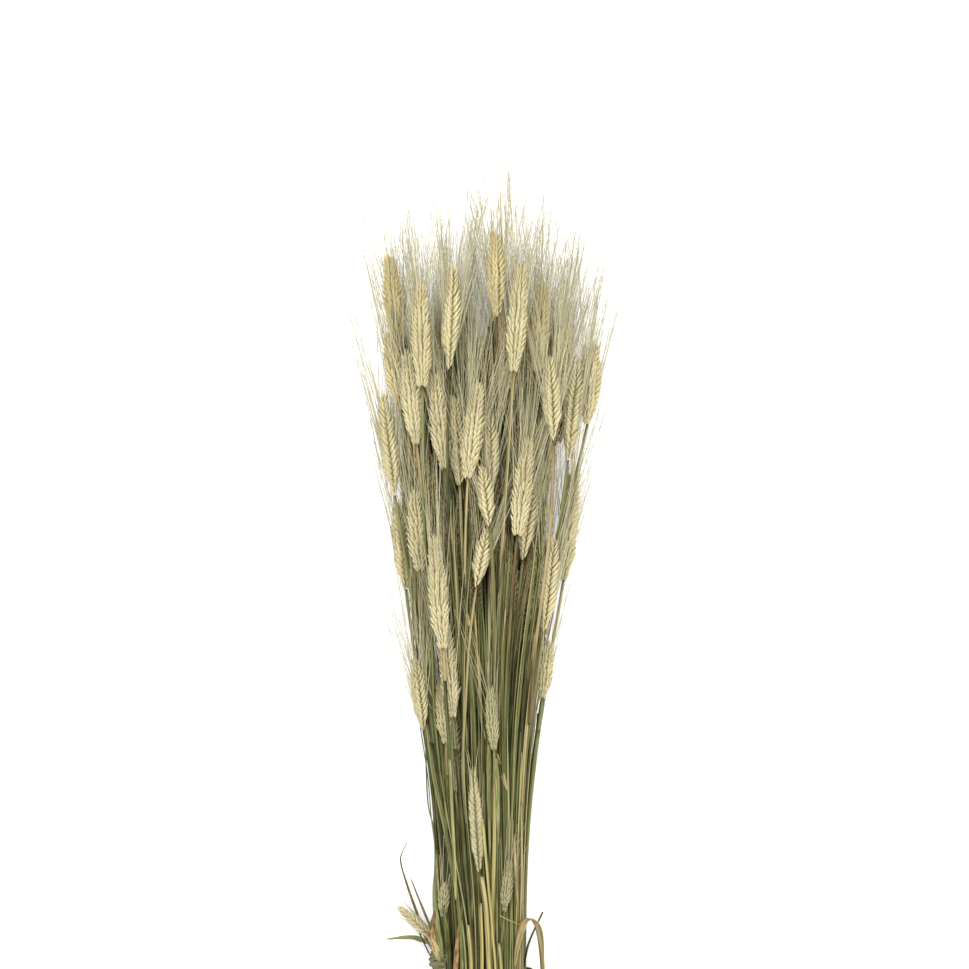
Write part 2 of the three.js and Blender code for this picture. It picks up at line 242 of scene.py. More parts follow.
def settle(runs, size):
    """Stalks that press on each other move apart until all lie side by side."""
    first = runs.copy()
    fixed = (NECK_HIGH - BUTT_Y) // STATION
    free = slice(fixed + 1, STATIONS)
    inner = slice(fixed + 1, STATIONS - 1)
    width = size[:, free]
    need = width[:, None] + width[None] + GAP
    meet = (width[:, None] > 0) & (width[None] > 0) & ~np.eye(len(runs), dtype=bool)[:, :, None]
    floor = size[:, inner] + np.where(size[:, inner] > EAR_LEAST, -EAR_SINK, STEM_LIFT)
    for step in range(SETTLE_ROUNDS):
        hold = 1.0 if step < DRAWN_ROUNDS else 0.0
        bend = EASY_BEND if step < EASY_ROUNDS else LATE_BEND
        here = runs[:, free].copy()
        apart = here[None] - here[:, None]
        far = np.maximum(0.01, np.hypot(apart[..., 0], apart[..., 1]))
        share = np.where(meet & (far < need), PRESS * (need - far) / far, 0.0)
        move = -(apart * share[..., None]).sum(axis=1)
        runs[:, free] = here + move + hold * DRAW_BACK * (first[:, free] - here)
        old = runs.copy()
        runs[:, inner] += bend * (old[:, fixed:STATIONS - 2] + old[:, fixed + 2:] - 2 * old[:, inner])
        runs[:, inner, 1] = np.maximum(runs[:, inner, 1], floor)
    return runs


HEIGHTS = BUTT_Y + STATION * np.arange(STATIONS)
PLACES = neck_places()
RUNS = settle(
    np.array([first_run(s, PLACES[i]) for i, s in enumerate(STALKS)], dtype=float),
    np.array([[reach(s, y) for y in HEIGHTS] for s in STALKS]),
)


def across_at(run, y):
    """The x and z of a run at a height, in millimetres."""
    return np.interp(y, HEIGHTS, run[:, 0]), np.interp(y, HEIGHTS, run[:, 1])


def spot(run, y):
    """The point of a run at a height, in metres."""
    x, z = across_at(run, y)
    return Vector((x, y, z)) * MM


def eased(values, rounds):
    """Takes the kinks out of a row of values or points and keeps its ends."""
    for _ in range(rounds):
        values[1:-1] = 0.25 * values[:-2] + 0.5 * values[1:-1] + 0.25 * values[2:]
    return values


class WheatSizes(bpy.types.PropertyGroup):
    """Sizes of the dressed pieces."""
    husk: FloatProperty(name="Husk", description="Length of one husk", default=0.0098, unit="LENGTH")
    rank_pitch: FloatProperty(
        name="Spikelet pitch", description="Step between spikelets of one rank", default=0.0042,
        unit="LENGTH")
    awn: FloatProperty(name="Awn", description="Length of an awn", default=0.094, unit="LENGTH")
    awn_width: FloatProperty(
        name="Awn width", description="Width of an awn at its root", default=0.00052, unit="LENGTH")
    culm_radius: FloatProperty(
        name="Culm radius", description="Radius of a bare straw", default=0.00108, unit="LENGTH")
    sheath_radius: FloatProperty(
        name="Sheath radius", description="Radius of a straw in its leaf sheath", default=0.00145,
        unit="LENGTH")
    loose_straws: IntProperty(name="Loose straws", description="Earless straws among the stems", default=540)
    loose_blades: IntProperty(name="Loose blades", description="Dry leaves along the stems", default=60)
    # Dark blades deep inside are painted shade: they hide the floor and darken the inside of the bunch.
    painted_shade_blades: IntProperty(name="Inner blades", description="Dark leaves deep in the bunch", default=110)
    under_ears: IntProperty(name="Under ears", description="Ears deep inside the bunch", default=44)
    seed: IntProperty(name="Seed", description="Start of the random draw", default=7)


def tint(name, description, colour):
    """A colour property."""
    return FloatVectorProperty(name=name, description=description, default=colour, subtype="COLOR", size=3)


class WheatColours(bpy.types.PropertyGroup):
    """Colours of the finishes."""
    husk_root: tint("Husk root", "Shaded foot of a husk", (0.435, 0.365, 0.205))
    husk_body: tint("Husk body", "Middle of a husk", (0.438, 0.39, 0.228))
    husk_tip: tint("Husk tip", "Bleached end of a husk", (0.465, 0.425, 0.268))
    ochre: tint("Ochre", "Ears that dried darker", (0.50, 0.37, 0.15))
    olive: tint("Olive", "Ears that kept a dull green", (0.24, 0.23, 0.125))
    # Painted shade: the dark brown husk of the ears deep inside stands in for the shade inside the bunch.
    painted_shade_husk: tint("Old husk", "Ears that went brown deep in the bunch", (0.15, 0.105, 0.045))
    awn: tint("Awn", "Bristles", (0.31, 0.292, 0.175))
    # The near-black end of the straw colours, darker than dry straw: partly painted shade between the stems,
    # and painted shade in the tie's creases.
    dark_straw_and_shade: tint("Dark straw", "Straw that stayed damp", (0.018, 0.0165, 0.004))
    straw_green: tint("Green straw", "Straw that kept its green", (0.094, 0.106, 0.029))
    straw_pale: tint("Pale straw", "Bleached straw", (0.208, 0.203, 0.086))
    straw_yellow: tint("Yellow straw", "Straws that ripened yellow", (0.305, 0.272, 0.085))
    straw_rust: tint("Rusty straw", "Leaves that went rusty", (0.25, 0.145, 0.055))
    straw_tan: tint("Tan straw", "Straw that dried tan", (0.3, 0.238, 0.116))
    straw_brown: tint("Brown straw", "Weathered straw", (0.088, 0.058, 0.022))
    cut: tint("Cut end", "Pith of a cut straw", (0.38, 0.33, 0.21))
    tie: tint("Tie", "Wound strip", (0.085, 0.08, 0.044))
    floor: tint("Floor", "Surface under the bunch", (0.93, 0.93, 0.93))


def deselect():
    """Leaves nothing selected and no mesh open."""
    if bpy.context.object and bpy.context.object.mode != "OBJECT":
        bpy.ops.object.mode_set(mode="OBJECT")
    bpy.ops.object.select_all(action="DESELECT")


def open_mesh(piece, kind):
    """Opens the piece to pick its vertices, edges or faces."""
    bpy.ops.object.mode_set(mode="EDIT")
    bpy.ops.mesh.select_mode(type=kind)
    return bmesh.from_edit_mesh(piece.data)


def pick_vertices(piece, test):
    """Opens the piece and selects the vertices that pass the test."""
    mesh = open_mesh(piece, "VERT")
    for vertex in mesh.verts:
        vertex.select = test(vertex.co)
    mesh.select_flush_mode()
    bmesh.update_edit_mesh(piece.data)


def pick_long_edges(piece):
    """Opens the piece and selects the edges that run along Z."""
    mesh = open_mesh(piece, "EDGE")
    for edge in mesh.edges:
        edge.select = abs(edge.verts[0].co.z - edge.verts[1].co.z) > 0.5
    bmesh.update_edit_mesh(piece.data)


def pick_ends(piece):
    """Opens the piece and selects its end faces."""
    mesh = open_mesh(piece, "FACE")
    for face in mesh.faces:
        face.select_set(abs(face.normal.z) > 0.9)
    bmesh.update_edit_mesh(piece.data)


def mark(mesh, name, values):
    """Writes one number for each vertex."""
    layer = mesh.attributes.get(name) or mesh.attributes.new(name, "FLOAT", "POINT")
    layer.data.foreach_set("value", np.broadcast_to(values, len(mesh.vertices)).astype(np.float32))


def corners(mesh):
    """The vertices of a mesh as rows of x, y, z."""
    values = np.empty(len(mesh.vertices) * 3, dtype=np.float32)
    mesh.vertices.foreach_get("co", values)
    return values.reshape(-1, 3).astype(float)


def move_corners(mesh, values):
    """Puts the vertices of a mesh at new places."""
    mesh.vertices.foreach_set("co", np.asarray(values, dtype=np.float32).ravel())
    mesh.update()


def keep_above_floor(mesh):
    """Lifts what would hang below the floor."""
    places = corners(mesh)
    places[:, 2] = np.maximum(places[:, 2], FLOOR_GAP)
    move_corners(mesh, places)


def start_pattern(name):
    """Names the primitive that was just added and applies its place."""
    piece = bpy.context.object
    piece.name = name
    bpy.ops.object.transform_apply(location=True, rotation=True, scale=True)
    return piece


def finish_pattern(piece, *materials):
    """Names the run along a pattern piece and gives it materials and smooth shading."""
    bpy.ops.object.mode_set(mode="OBJECT")
    bpy.ops.object.transform_apply(location=True, rotation=True, scale=True)
    mark(piece.data, "along", corners(piece.data)[:, 2])
    mark(piece.data, "tone", 0.0)
    for material in materials:
        piece.data.materials.append(material)
    bpy.ops.object.shade_smooth()
    return piece


def copy_of(pattern, matrix, tone):
    """A copy of a pattern piece with its own mesh, put in place with its faces outward."""
    mesh = pattern.data.copy()
    mesh.transform(matrix)
    if matrix.determinant() < 0:
        mesh.flip_normals()
    mark(mesh, "tone", tone)
    piece = bpy.data.objects.new(pattern.name, mesh)
    bpy.context.collection.objects.link(piece)
    return piece


def joined(name, pieces):
    """One object from several."""
    deselect()
    for piece in pieces:
        piece.select_set(True)
    bpy.context.view_layer.objects.active = pieces[0]
    bpy.ops.object.join()
    whole = bpy.context.object
    whole.name = name
    whole.data.name = name
    return whole


def drop(*pieces):
    """Removes pattern pieces that are used up."""
    for piece in pieces:
        bpy.data.objects.remove(piece, do_unlink=True)


def set_down(piece, slot, *nodes):
    """Lifts a finished piece off the floor, ties it to the bunch and hides the solids that it stands for; slot
    is not used.
    """
    keep_above_floor(piece.data)
    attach(piece, "root")
    if nodes:
        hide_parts(*nodes)


def stand(root, way, toward, size):
    """Matrix that sets a pattern's +Z along one direction and its +X toward another."""
    z = Vector(way).normalized()
    x = (Vector(toward) - z * z.dot(Vector(toward))).normalized()
    basis = Matrix((x, z.cross(x), z)).transposed().to_4x4()
    return Matrix.Translation(root) @ basis @ Matrix.Diagonal((*size, 1.0))


class Graph:
    """A short hand for building the nodes of one tree."""

    def __init__(self, tree):
        self.tree = tree

    def node(self, kind, values=None, **settings):
        """Adds a node, with settings and socket values or links."""
        made = self.tree.nodes.new(kind)
        for name, value in settings.items():
            setattr(made, name, value)
        for socket, value in (values or {}).items():
            if isinstance(value, bpy.types.NodeSocket):
                self.tree.links.new(value, made.inputs[socket])
            else:
                made.inputs[socket].default_value = value
        return made

    def mix(self, factor, a, b, blend="MIX"):
        """The colour between a and b."""
        made = self.node("ShaderNodeMix", {0: factor, 6: a, 7: b}, data_type="RGBA", blend_type=blend)
        return made.outputs[2]

    def maths(self, operation, a, b=0.0, c=0.0, clamp=False):
        """A sum or product of values."""
        made = self.node("ShaderNodeMath", {0: a, 1: b, 2: c}, operation=operation, use_clamp=clamp)
        return made.outputs[0]

    def between(self, value, low, high):
        """Stretches a value between two limits to 0 and 1."""
        return self.node("ShaderNodeMapRange", {0: value, 1: low, 2: high}, clamp=True).outputs[0]

    def ramp(self, value, *stops):
        """A colour from a row of places and colours."""
        made = self.node("ShaderNodeValToRGB", {0: value})
        elements = made.color_ramp.elements
        for place, _ in stops[1:-1]:
            elements.new(place)
        for element, (place, colour) in zip(elements, stops):
            element.position = place
            element.color = rgba(colour)
        return made.outputs[0]

    def attribute(self, name):
        """A number kept on the vertices."""
        return self.node("ShaderNodeAttribute", attribute_name=name).outputs["Fac"]

    def effect(self, tree, values=None):
        """The outputs of a shared effect with its own values."""
        return self.node("ShaderNodeGroup", values, node_tree=tree).outputs

    def link(self, value, socket):
        """Feeds a value into a socket."""
        self.tree.links.new(value, socket)


def group(name, inputs, outputs):
    """A new node group with named sockets, and its graph, input and output nodes."""
    tree = bpy.data.node_groups.new(name, "ShaderNodeTree")
    for label, value in inputs:
        socket = tree.interface.new_socket(label, in_out="INPUT", socket_type="NodeSocketFloat")
        socket.default_value = value
    for label in outputs:
        tree.interface.new_socket(label, in_out="OUTPUT", socket_type="NodeSocketFloat")
    graph = Graph(tree)
    return graph, graph.node("NodeGroupInput").outputs, graph.node("NodeGroupOutput").inputs


def fibre_group():
    """Fine streaks that run along a straw, blade or strip, from its UV map."""
    graph, given, result = group(
        "Dry Fibre", [("Across", 30.0), ("Length", 3.0), ("Shift", 0.0)], ["Streak", "Stain"])
    parts = graph.node("ShaderNodeSeparateXYZ", {0: graph.node("ShaderNodeTexCoord").outputs["UV"]}).outputs
    across = graph.maths("MULTIPLY", parts[0], given["Across"])
    length = graph.maths("MULTIPLY", parts[1], given["Length"])
    shift = graph.maths("MULTIPLY", given["Shift"], 37.0)
    point = graph.node("ShaderNodeCombineXYZ", {0: across, 1: length, 2: shift}).outputs[0]
    streak = graph.node("ShaderNodeTexNoise", {"Vector": point, "Scale": 1.0, "Detail": 3.0})
    slow = graph.maths("MULTIPLY", parts[0], 1.5)
    reach_along = graph.maths("MULTIPLY", length, 2.0)
    wide = graph.node("ShaderNodeCombineXYZ", {0: slow, 1: reach_along, 2: shift}).outputs[0]
    stain = graph.node("ShaderNodeTexNoise", {"Vector": wide, "Scale": 1.0, "Detail": 4.0, "Roughness": 0.65})
    graph.link(streak.outputs[0], result["Streak"])
    graph.link(stain.outputs[0], result["Stain"])
    return graph.tree


def mottle_group():
    """Soft blotches and a fine grain that do not follow any one piece."""
    graph, given, result = group(
        "Dry Mottle", [("Blotch Size", 40.0), ("Grain Size", 900.0)], ["Blotch", "Grain"])
    place = graph.node("ShaderNodeTexCoord").outputs["Object"]
    blotch = graph.node("ShaderNodeTexNoise", {"Vector": place, "Scale": given["Blotch Size"], "Detail": 2.0})
    grain = graph.node("ShaderNodeTexNoise", {"Vector": place, "Scale": given["Grain Size"], "Detail": 3.0})
    graph.link(blotch.outputs[0], result["Blotch"])
    graph.link(grain.outputs[0], result["Grain"])
    return graph.tree


def finish(name, roughness):
    """A new material with its graph and main shader."""
    material = bpy.data.materials.new(name)
    material.use_nodes = True
    shader = material.node_tree.nodes["Principled BSDF"]
    shader.inputs["Roughness"].default_value = roughness
    shader.inputs["Specular IOR Level"].default_value = 0.16
    return material, Graph(material.node_tree), shader


def rgba(colour):
    """A colour with full cover."""
    return (*colour, 1.0)


def raise_surface(graph, shader, height, strength, distance):
    """Bump from a height."""
    bump = graph.node("ShaderNodeBump", {"Strength": strength, "Distance": distance, "Height": height})
    graph.link(bump.outputs[0], shader.inputs["Normal"])


def husk_finish(name, colours, mottle, root, body, tip):
    """Chaff: shaded foot, cream body and bleached tip, with ochre and olive ears and a fine grain."""
    material, graph, shader = finish(name, 0.6)
    shader.inputs["Subsurface Weight"].default_value = 0.5
    shader.inputs["Subsurface Radius"].default_value = (1.0, 0.8, 0.45)
    shader.inputs["Subsurface Scale"].default_value = 0.003
    spread = graph.effect(mottle)
    along = graph.attribute("along")
    tone = graph.attribute("tone")
    colour = graph.ramp(along, (0.0, root), (0.34, body), (0.55, body), (1.0, tip))
    colour = graph.mix(graph.maths("MULTIPLY", tone, 1.0, clamp=True), colour, rgba(colours.ochre))
    colour = graph.mix(graph.maths("MULTIPLY", tone, -1.0, clamp=True), colour, rgba(colours.olive))
    shade = graph.between(spread["Grain"], 0.3, 0.75)
    colour = graph.mix(graph.maths("MULTIPLY", shade, 0.3), colour, rgba(colours.ochre), "MULTIPLY")
    green = graph.between(spread["Blotch"], 0.45, 0.75)
    colour = graph.mix(graph.maths("MULTIPLY", green, 0.28), colour, rgba(colours.straw_pale))
    graph.link(colour, shader.inputs["Base Color"])
    rough = graph.maths("MULTIPLY_ADD", shade, 0.2, 0.5)
    graph.link(rough, shader.inputs["Roughness"])
    raise_surface(graph, shader, spread["Grain"], 0.3, 0.0003)
    return material


def awn_finish(colours, mottle):
    """Bristles: darker at the root, bleached to the tip."""
    material, graph, shader = finish("awn_bristle", 0.5)
    spread = graph.effect(mottle)
    along = graph.attribute("along")
    tone = graph.attribute("tone")
    colour = graph.mix(graph.between(along, 0.25, 0.9), rgba(colours.husk_tip), rgba(colours.awn))
    green = graph.between(spread["Blotch"], 0.35, 0.7)
    colour = graph.mix(graph.maths("MULTIPLY", green, 0.16), colour, rgba(colours.straw_pale))
    dull = graph.maths("MULTIPLY", graph.maths("ABSOLUTE", tone), 0.5, clamp=True)
    colour = graph.mix(dull, colour, rgba(colours.straw_tan))
    graph.link(colour, shader.inputs["Base Color"])
    return material


def straw_finish(name, colours, fibre, mottle, stained, bleached, *own_stops):
    """Straw or blade: dark green to tan and brown by its tone, with long streaks, stains, dull spots and
    painted shade.
    """
    material, graph, shader = finish(name, 0.5)
    tone = graph.attribute("tone")
    along = graph.attribute("along")
    lines = graph.effect(fibre, {"Across": 8.0, "Length": 5.0, "Shift": tone})
    spread = graph.effect(mottle, {"Blotch Size": 30.0})
    stain = graph.between(lines["Stain"], 0.45, 0.75)
    place = graph.maths("ADD", graph.maths("MULTIPLY_ADD", along, bleached, -0.08), tone)
    place = graph.maths("MULTIPLY_ADD", stain, stained, place)
    place = graph.maths("MULTIPLY_ADD", graph.maths("SUBTRACT", spread["Blotch"], 0.5), 0.4, place)
    # The near-black first stop paints shade into the darkest straws.
    stops = [(0.0, colours.dark_straw_and_shade), (0.22, colours.straw_green), (0.55, colours.straw_pale),
             (0.8, colours.straw_tan), (1.0, colours.straw_brown), *own_stops]
    colour = graph.ramp(place, *sorted(stops, key=lambda stop: stop[0]))
    # The fibre noise also raises the surface: pale streaks on its ridges are the straw's streaked colour and
    # partly painted highlight, and its darkened grooves are painted shade.
    streak = graph.between(lines["Streak"], 0.48, 0.66)
    colour = graph.mix(graph.maths("MULTIPLY", streak, 0.26), colour, rgba(colours.straw_pale), "SCREEN")
    groove_shade = graph.between(lines["Streak"], 0.5, 0.38)
    colour = graph.mix(graph.maths("MULTIPLY", groove_shade, 0.72), colour, rgba(colours.straw_tan), "MULTIPLY")
    graph.link(colour, shader.inputs["Base Color"])
    rough = graph.maths("MULTIPLY_ADD", streak, 0.2, 0.4)
    graph.link(rough, shader.inputs["Roughness"])
    raise_surface(graph, shader, lines["Streak"], 0.4, 0.0003)
    return material


def cut_finish(colours, mottle):
    """The pale ring and hollow of a cut straw."""
    material, graph, shader = finish("straw_cut", 0.8)
    spread = graph.effect(mottle, {"Grain Size": 1600.0})
    shade = graph.between(spread["Grain"], 0.3, 0.7)
    colour = graph.mix(graph.maths("MULTIPLY", shade, 0.5), rgba(colours.cut), rgba(colours.straw_tan))
    graph.link(colour, shader.inputs["Base Color"])
    return material


def tie_finish(colours, fibre, mottle):
    """The wound strip: dull grey green with long fibres, worn paler spots and painted shade in the creases of
    its laps.
    """
    material, graph, shader = finish("tie_strip", 0.75)
    lines = graph.effect(fibre, {"Across": 5.0, "Length": 26.0})
    spread = graph.effect(mottle, {"Blotch Size": 120.0})
    thread = graph.between(lines["Streak"], 0.3, 0.7)
    colour = graph.mix(graph.maths("MULTIPLY", thread, 0.4), rgba(colours.tie), rgba(colours.straw_pale))
    worn = graph.between(spread["Blotch"], 0.5, 0.75)
    colour = graph.mix(graph.maths("MULTIPLY", worn, 0.2), colour, rgba(colours.awn))
    # Painted shade: where a lap's 'along' falls below the middle, in its crease troughs, the strip is darkened.
    fold = graph.between(graph.attribute("along"), 0.45, 0.1)
    colour = graph.mix(graph.maths("MULTIPLY", fold, 0.8), colour, rgba(colours.dark_straw_and_shade))
    graph.link(colour, shader.inputs["Base Color"])
    raise_surface(graph, shader, lines["Streak"], 0.5, 0.0005)
    return material


def floor_finish(colours):
    """A plain pale surface."""
    material, _, shader = finish("pale_floor", 0.9)
    shader.inputs["Base Color"].default_value = rgba(colours.floor)
    return material


def build_finishes(colours):
    """All materials by name."""
    fibre = fibre_group()
    mottle = mottle_group()
    return {
        "husk": husk_finish(
            "husk_chaff", colours, mottle, colours.husk_root, colours.husk_body, colours.husk_tip),
        # The ears deep inside take a dark brown husk, painted shade inside the bunch.
        "painted_shade_husk": husk_finish(
            "husk_painted_shade", colours, mottle, colours.straw_brown, colours.painted_shade_husk, colours.husk_root),
        "awn": awn_finish(colours, mottle),
        "culm": straw_finish("straw_culm", colours, fibre, mottle, 0.1, 0.2),
        "sheath": straw_finish(
            "straw_sheath", colours, fibre, mottle, 0.14, 0.16, (0.66, colours.straw_yellow)),
        "blade": straw_finish("dry_blade", colours, fibre, mottle, 0.2, 0.16, (0.9, colours.straw_rust)),
        "cut": cut_finish(colours, mottle),
        "tie": tie_finish(colours, fibre, mottle),
        "floor": floor_finish(colours),
    }


FINISHES = {}
FLOOR_GAP = 0.0002
# Room for awns beyond the box of the solids along each axis, in metres.
AWN_ROOM = (0.011, 0.024, 0.009)
# Points where the awns of one ear draw together.
WISPS = 7

# A husk one unit long: height and half width of its rings, foot to tip; how much deeper than wide it is; and
# how far its keel and its point are drawn out.
HUSK_RINGS = ((0.1464, 0.09), (0.5, 0.112), (0.8536, 0.054))
HUSK_DEEP = 1.5
HUSK_KEEL = 0.03
HUSK_POINT = 0.14


def husk_pattern(finish_name):
    """One husk, foot at the origin and tip at +Z: a keeled pod drawn out to a point."""
    deselect()
    bpy.ops.mesh.primitive_uv_sphere_add(segments=5, ring_count=4, radius=0.5, location=(0, 0, 0.5))
    piece = start_pattern("husk_pattern")
    for height, half in HUSK_RINGS:
        pick_vertices(piece, lambda co: abs(co.z - height) < 0.02)
        across = half / math.sqrt(0.25 - (height - 0.5) ** 2)
        bpy.ops.transform.resize(value=(across, across * HUSK_DEEP, 1), center_override=(0, 0, height))
    pick_vertices(piece, lambda co: co.y > 0.06)
    bpy.ops.transform.translate(value=(0, HUSK_KEEL, 0))
    pick_vertices(piece, lambda co: co.z > 0.99)
    bpy.ops.transform.translate(value=(0, 0, HUSK_POINT))
    return finish_pattern(piece, FINISHES[finish_name])


def awn_pattern(bow):
    """One bristle along +Z, three-sided, bowed toward +X."""
    deselect()
    bpy.ops.mesh.primitive_cone_add(vertices=3, radius1=0.5, radius2=0.26, depth=1, location=(0, 0, 0.5))
    piece = start_pattern("awn_pattern")
    pick_long_edges(piece)
    bpy.ops.mesh.subdivide(number_cuts=3)
    bpy.ops.object.mode_set(mode="OBJECT")
    levels = sorted({round(v.co.z, 3) for v in piece.data.vertices})
    for level in levels[1:]:
        pick_vertices(piece, lambda co: abs(co.z - level) < 0.01)
        bpy.ops.transform.translate(value=(bow * level ** 2, 0, 0))
    return finish_pattern(piece, FINISHES["awn"])


# The wall of a cut straw as a share of its radius, and the depth of its hollow as a share of its length.
CUT_WALL = 0.32
CUT_DEPTH = 0.012


def straw_pattern(sides, rings, finish_name):
    """A tube along +Z, one unit long, with rings to bend it at and hollow ends."""
    deselect()
    bpy.ops.mesh.primitive_cylinder_add(vertices=sides, radius=1, depth=1, location=(0, 0, 0.5))
    piece = start_pattern("straw_pattern")
    pick_ends(piece)
    bpy.ops.mesh.inset(thickness=CUT_WALL, depth=-CUT_DEPTH)
    pick_long_edges(piece)
    bpy.ops.mesh.subdivide(number_cuts=rings)
    finish_pattern(piece, FINISHES[finish_name], FINISHES["cut"])
    for face in piece.data.polygons:
        inside = abs(face.normal.z) > 0.5
        face.material_index = 1 if inside else 0
        face.use_smooth = not inside
    return piece


def blade_pattern(columns, rings):
    """A flat strip along +Z, one unit long and wide, with a fold along its midrib."""
    deselect()
    bpy.ops.mesh.primitive_grid_add(
        x_subdivisions=columns, y_subdivisions=rings, size=1,
        location=(0, 0, 0.5), rotation=(math.pi / 2, 0, 0))
    piece = start_pattern("blade_pattern")
    pick_vertices(piece, lambda co: abs(co.x) < 0.05)
    bpy.ops.transform.translate(value=(0, 0.12, 0))
    return finish_pattern(piece, FINISHES["blade"])


# Husks of one spikelet, as shares of a husk's length: foot up and out, place across, lean across and out,
# length, width, and whether it bears an awn.
HUSKS = (
    (0.00, 0.02, 0.15, 0.32, 0.40, 0.80, 1.00, False),
    (0.00, 0.02, -0.15, -0.32, 0.40, 0.80, 1.00, False),
    (0.08, 0.10, 0.10, 0.19, 0.40, 1.00, 0.95, True),
    (0.08, 0.10, -0.10, -0.19, 0.40, 1.00, 0.95, True),
    (0.14, 0.16, 0.00, 0.00, 0.40, 1.05, 0.90, True),
)


# The same for an ear that shows its plaited side: broad glumes that cover the rest.
BROAD_HUSKS = (
    (0.00, 0.06, 0.15, 0.24, 0.46, 0.98, 1.55, False),
    (0.00, 0.06, -0.15, -0.24, 0.46, 0.98, 1.55, False),
    (0.14, 0.16, 0.00, 0.00, 0.42, 1.00, 0.90, True),
)


def spikelet_pattern(husk, husks, draw):
    """Glumes and florets: foot at the origin, +Z up the ear, +Y outward and X along its face."""
    pieces = []
    for up, out, place, lean, lean_out, length, width, _ in husks:
        way = (lean + draw.uniform(-0.05, 0.05), lean_out + draw.uniform(-0.05, 0.05), 1.0)
        wide = width * draw.uniform(0.9, 1.1)
        matrix = stand((place, out, up), way, (1, 0, 0), (wide, wide, length * draw.uniform(0.95, 1.05)))
        pieces.append(copy_of(husk, matrix, 0.0))
    return joined("spikelet_pattern", pieces)


# How an ear fills out along its length: full from here, tapering from there, and what it loses to its tip.
EAR_FULL_FROM = 0.24
EAR_TAPER_FROM = 0.5
EAR_TAPER = 0.34
# Stretch of a spikelet across the face of the ear and outward from it.
SPIKELET_WIDE = 1.68
SPIKELET_DEEP = 1.1
# Where the rachis starts above the foot in metres, its share of the ear's length, and its radius in a full and
# in a plaited ear.
RACHIS_FROM = 0.004
RACHIS_SHARE = 0.82
RACHIS_R = 0.0017
PLAIT_RACHIS_R = 0.0009
# Awns: the chance lost where they point up or down, the usual and the stray spread from the ear's axis, the
# share of usual ones, their wander and twist, the ranges of length and width, how far they are drawn to a wisp,
# and the beard that is so short that it stands out twice as far.
AWN_PRESSED = 0.75
AWN_SPREAD = (0.05, 0.9)
AWN_STRAY_SPREAD = (0.9, 1.5)
AWN_USUAL = 0.9
AWN_WANDER = 0.05
AWN_TWIST = 0.25
AWN_LENGTHS = (0.72, 1.12)
AWN_WIDTHS = (0.8, 1.15)
AWN_DRAWN = (0.15, 0.75)
STUBBLE = 0.2


def ear_frame(foot, tip, roll):
    """Axis of an ear and its rank side."""
    axis = (tip - foot).normalized()
    side = axis.cross(Vector((0, 0, 1))).normalized()
    side.rotate(Matrix.Rotation(math.radians(roll), 3, axis))
    return axis, side


def turned_in(root, way, long):
    """The direction of an awn, turned in where its tip would stand out of the bunch."""
    tip = root + way.normalized() * long
    for axis, room in enumerate(AWN_ROOM):
        tip[axis] = min(CAD_BOX[1][axis] + room, max(CAD_BOX[0][axis] - room, tip[axis]))
    tip[2] = max(FLOOR_GAP, tip[2])
    return tip - root


def wander(draw, size):
    """A small push in any direction."""
    return Vector([draw.gauss(0, size) for _ in range(3)])


def wisp_places(tip, axis, side, reach_out, draw):
    """Points beyond an ear where its bristles draw together."""
    other = axis.cross(side)
    found = []
    for _ in range(WISPS):
        around = draw.uniform(0, math.tau)
        off = (side * math.cos(around) + other * math.sin(around)) * draw.uniform(0.1, 0.42)
        found.append(tip + (axis * draw.uniform(0.7, 1.0) + off) * reach_out)
    return found


def add_awns(pieces, matrix, axis, tone, stretch, thick_set, wisps, patterns, sizes, draw):
    """The bristles of one spikelet, fewer where the bunch is pressed flat."""
    for up, out, place, lean, lean_out, length, _, awned in HUSKS:
        way = Vector((lean, lean_out, 1.0)).normalized()
        root = matrix @ (Vector((place, out, up)) + way * length)
        way = (matrix.to_3x3() @ way).normalized()
        outward = way - axis * way.dot(axis)
        if not awned or draw.random() > thick_set * (1 - AWN_PRESSED * abs(outward.normalized().z)):
            continue
        spread = draw.uniform(*(AWN_SPREAD if draw.random() < AWN_USUAL else AWN_STRAY_SPREAD))
        spread *= 2.0 if stretch < STUBBLE else 1.0
        stray = wander(draw, AWN_WANDER)
        long = sizes.awn * stretch * draw.uniform(*AWN_LENGTHS)
        thick = sizes.awn_width * draw.uniform(*AWN_WIDTHS)
        toward = -outward + wander(draw, AWN_TWIST)
        bristle = patterns["awns"][draw.randrange(len(patterns["awns"]))]
        end = root + (axis + outward * spread + stray).normalized() * long
        wisp = min(wisps, key=lambda place: (place - end).length)
        run = turned_in(root, end.lerp(wisp, draw.uniform(*AWN_DRAWN)) - root, long)
        place_awn = stand(root, run, toward, (thick, thick, min(long, run.length)))
        pieces.append(copy_of(bristle, place_awn, tone))


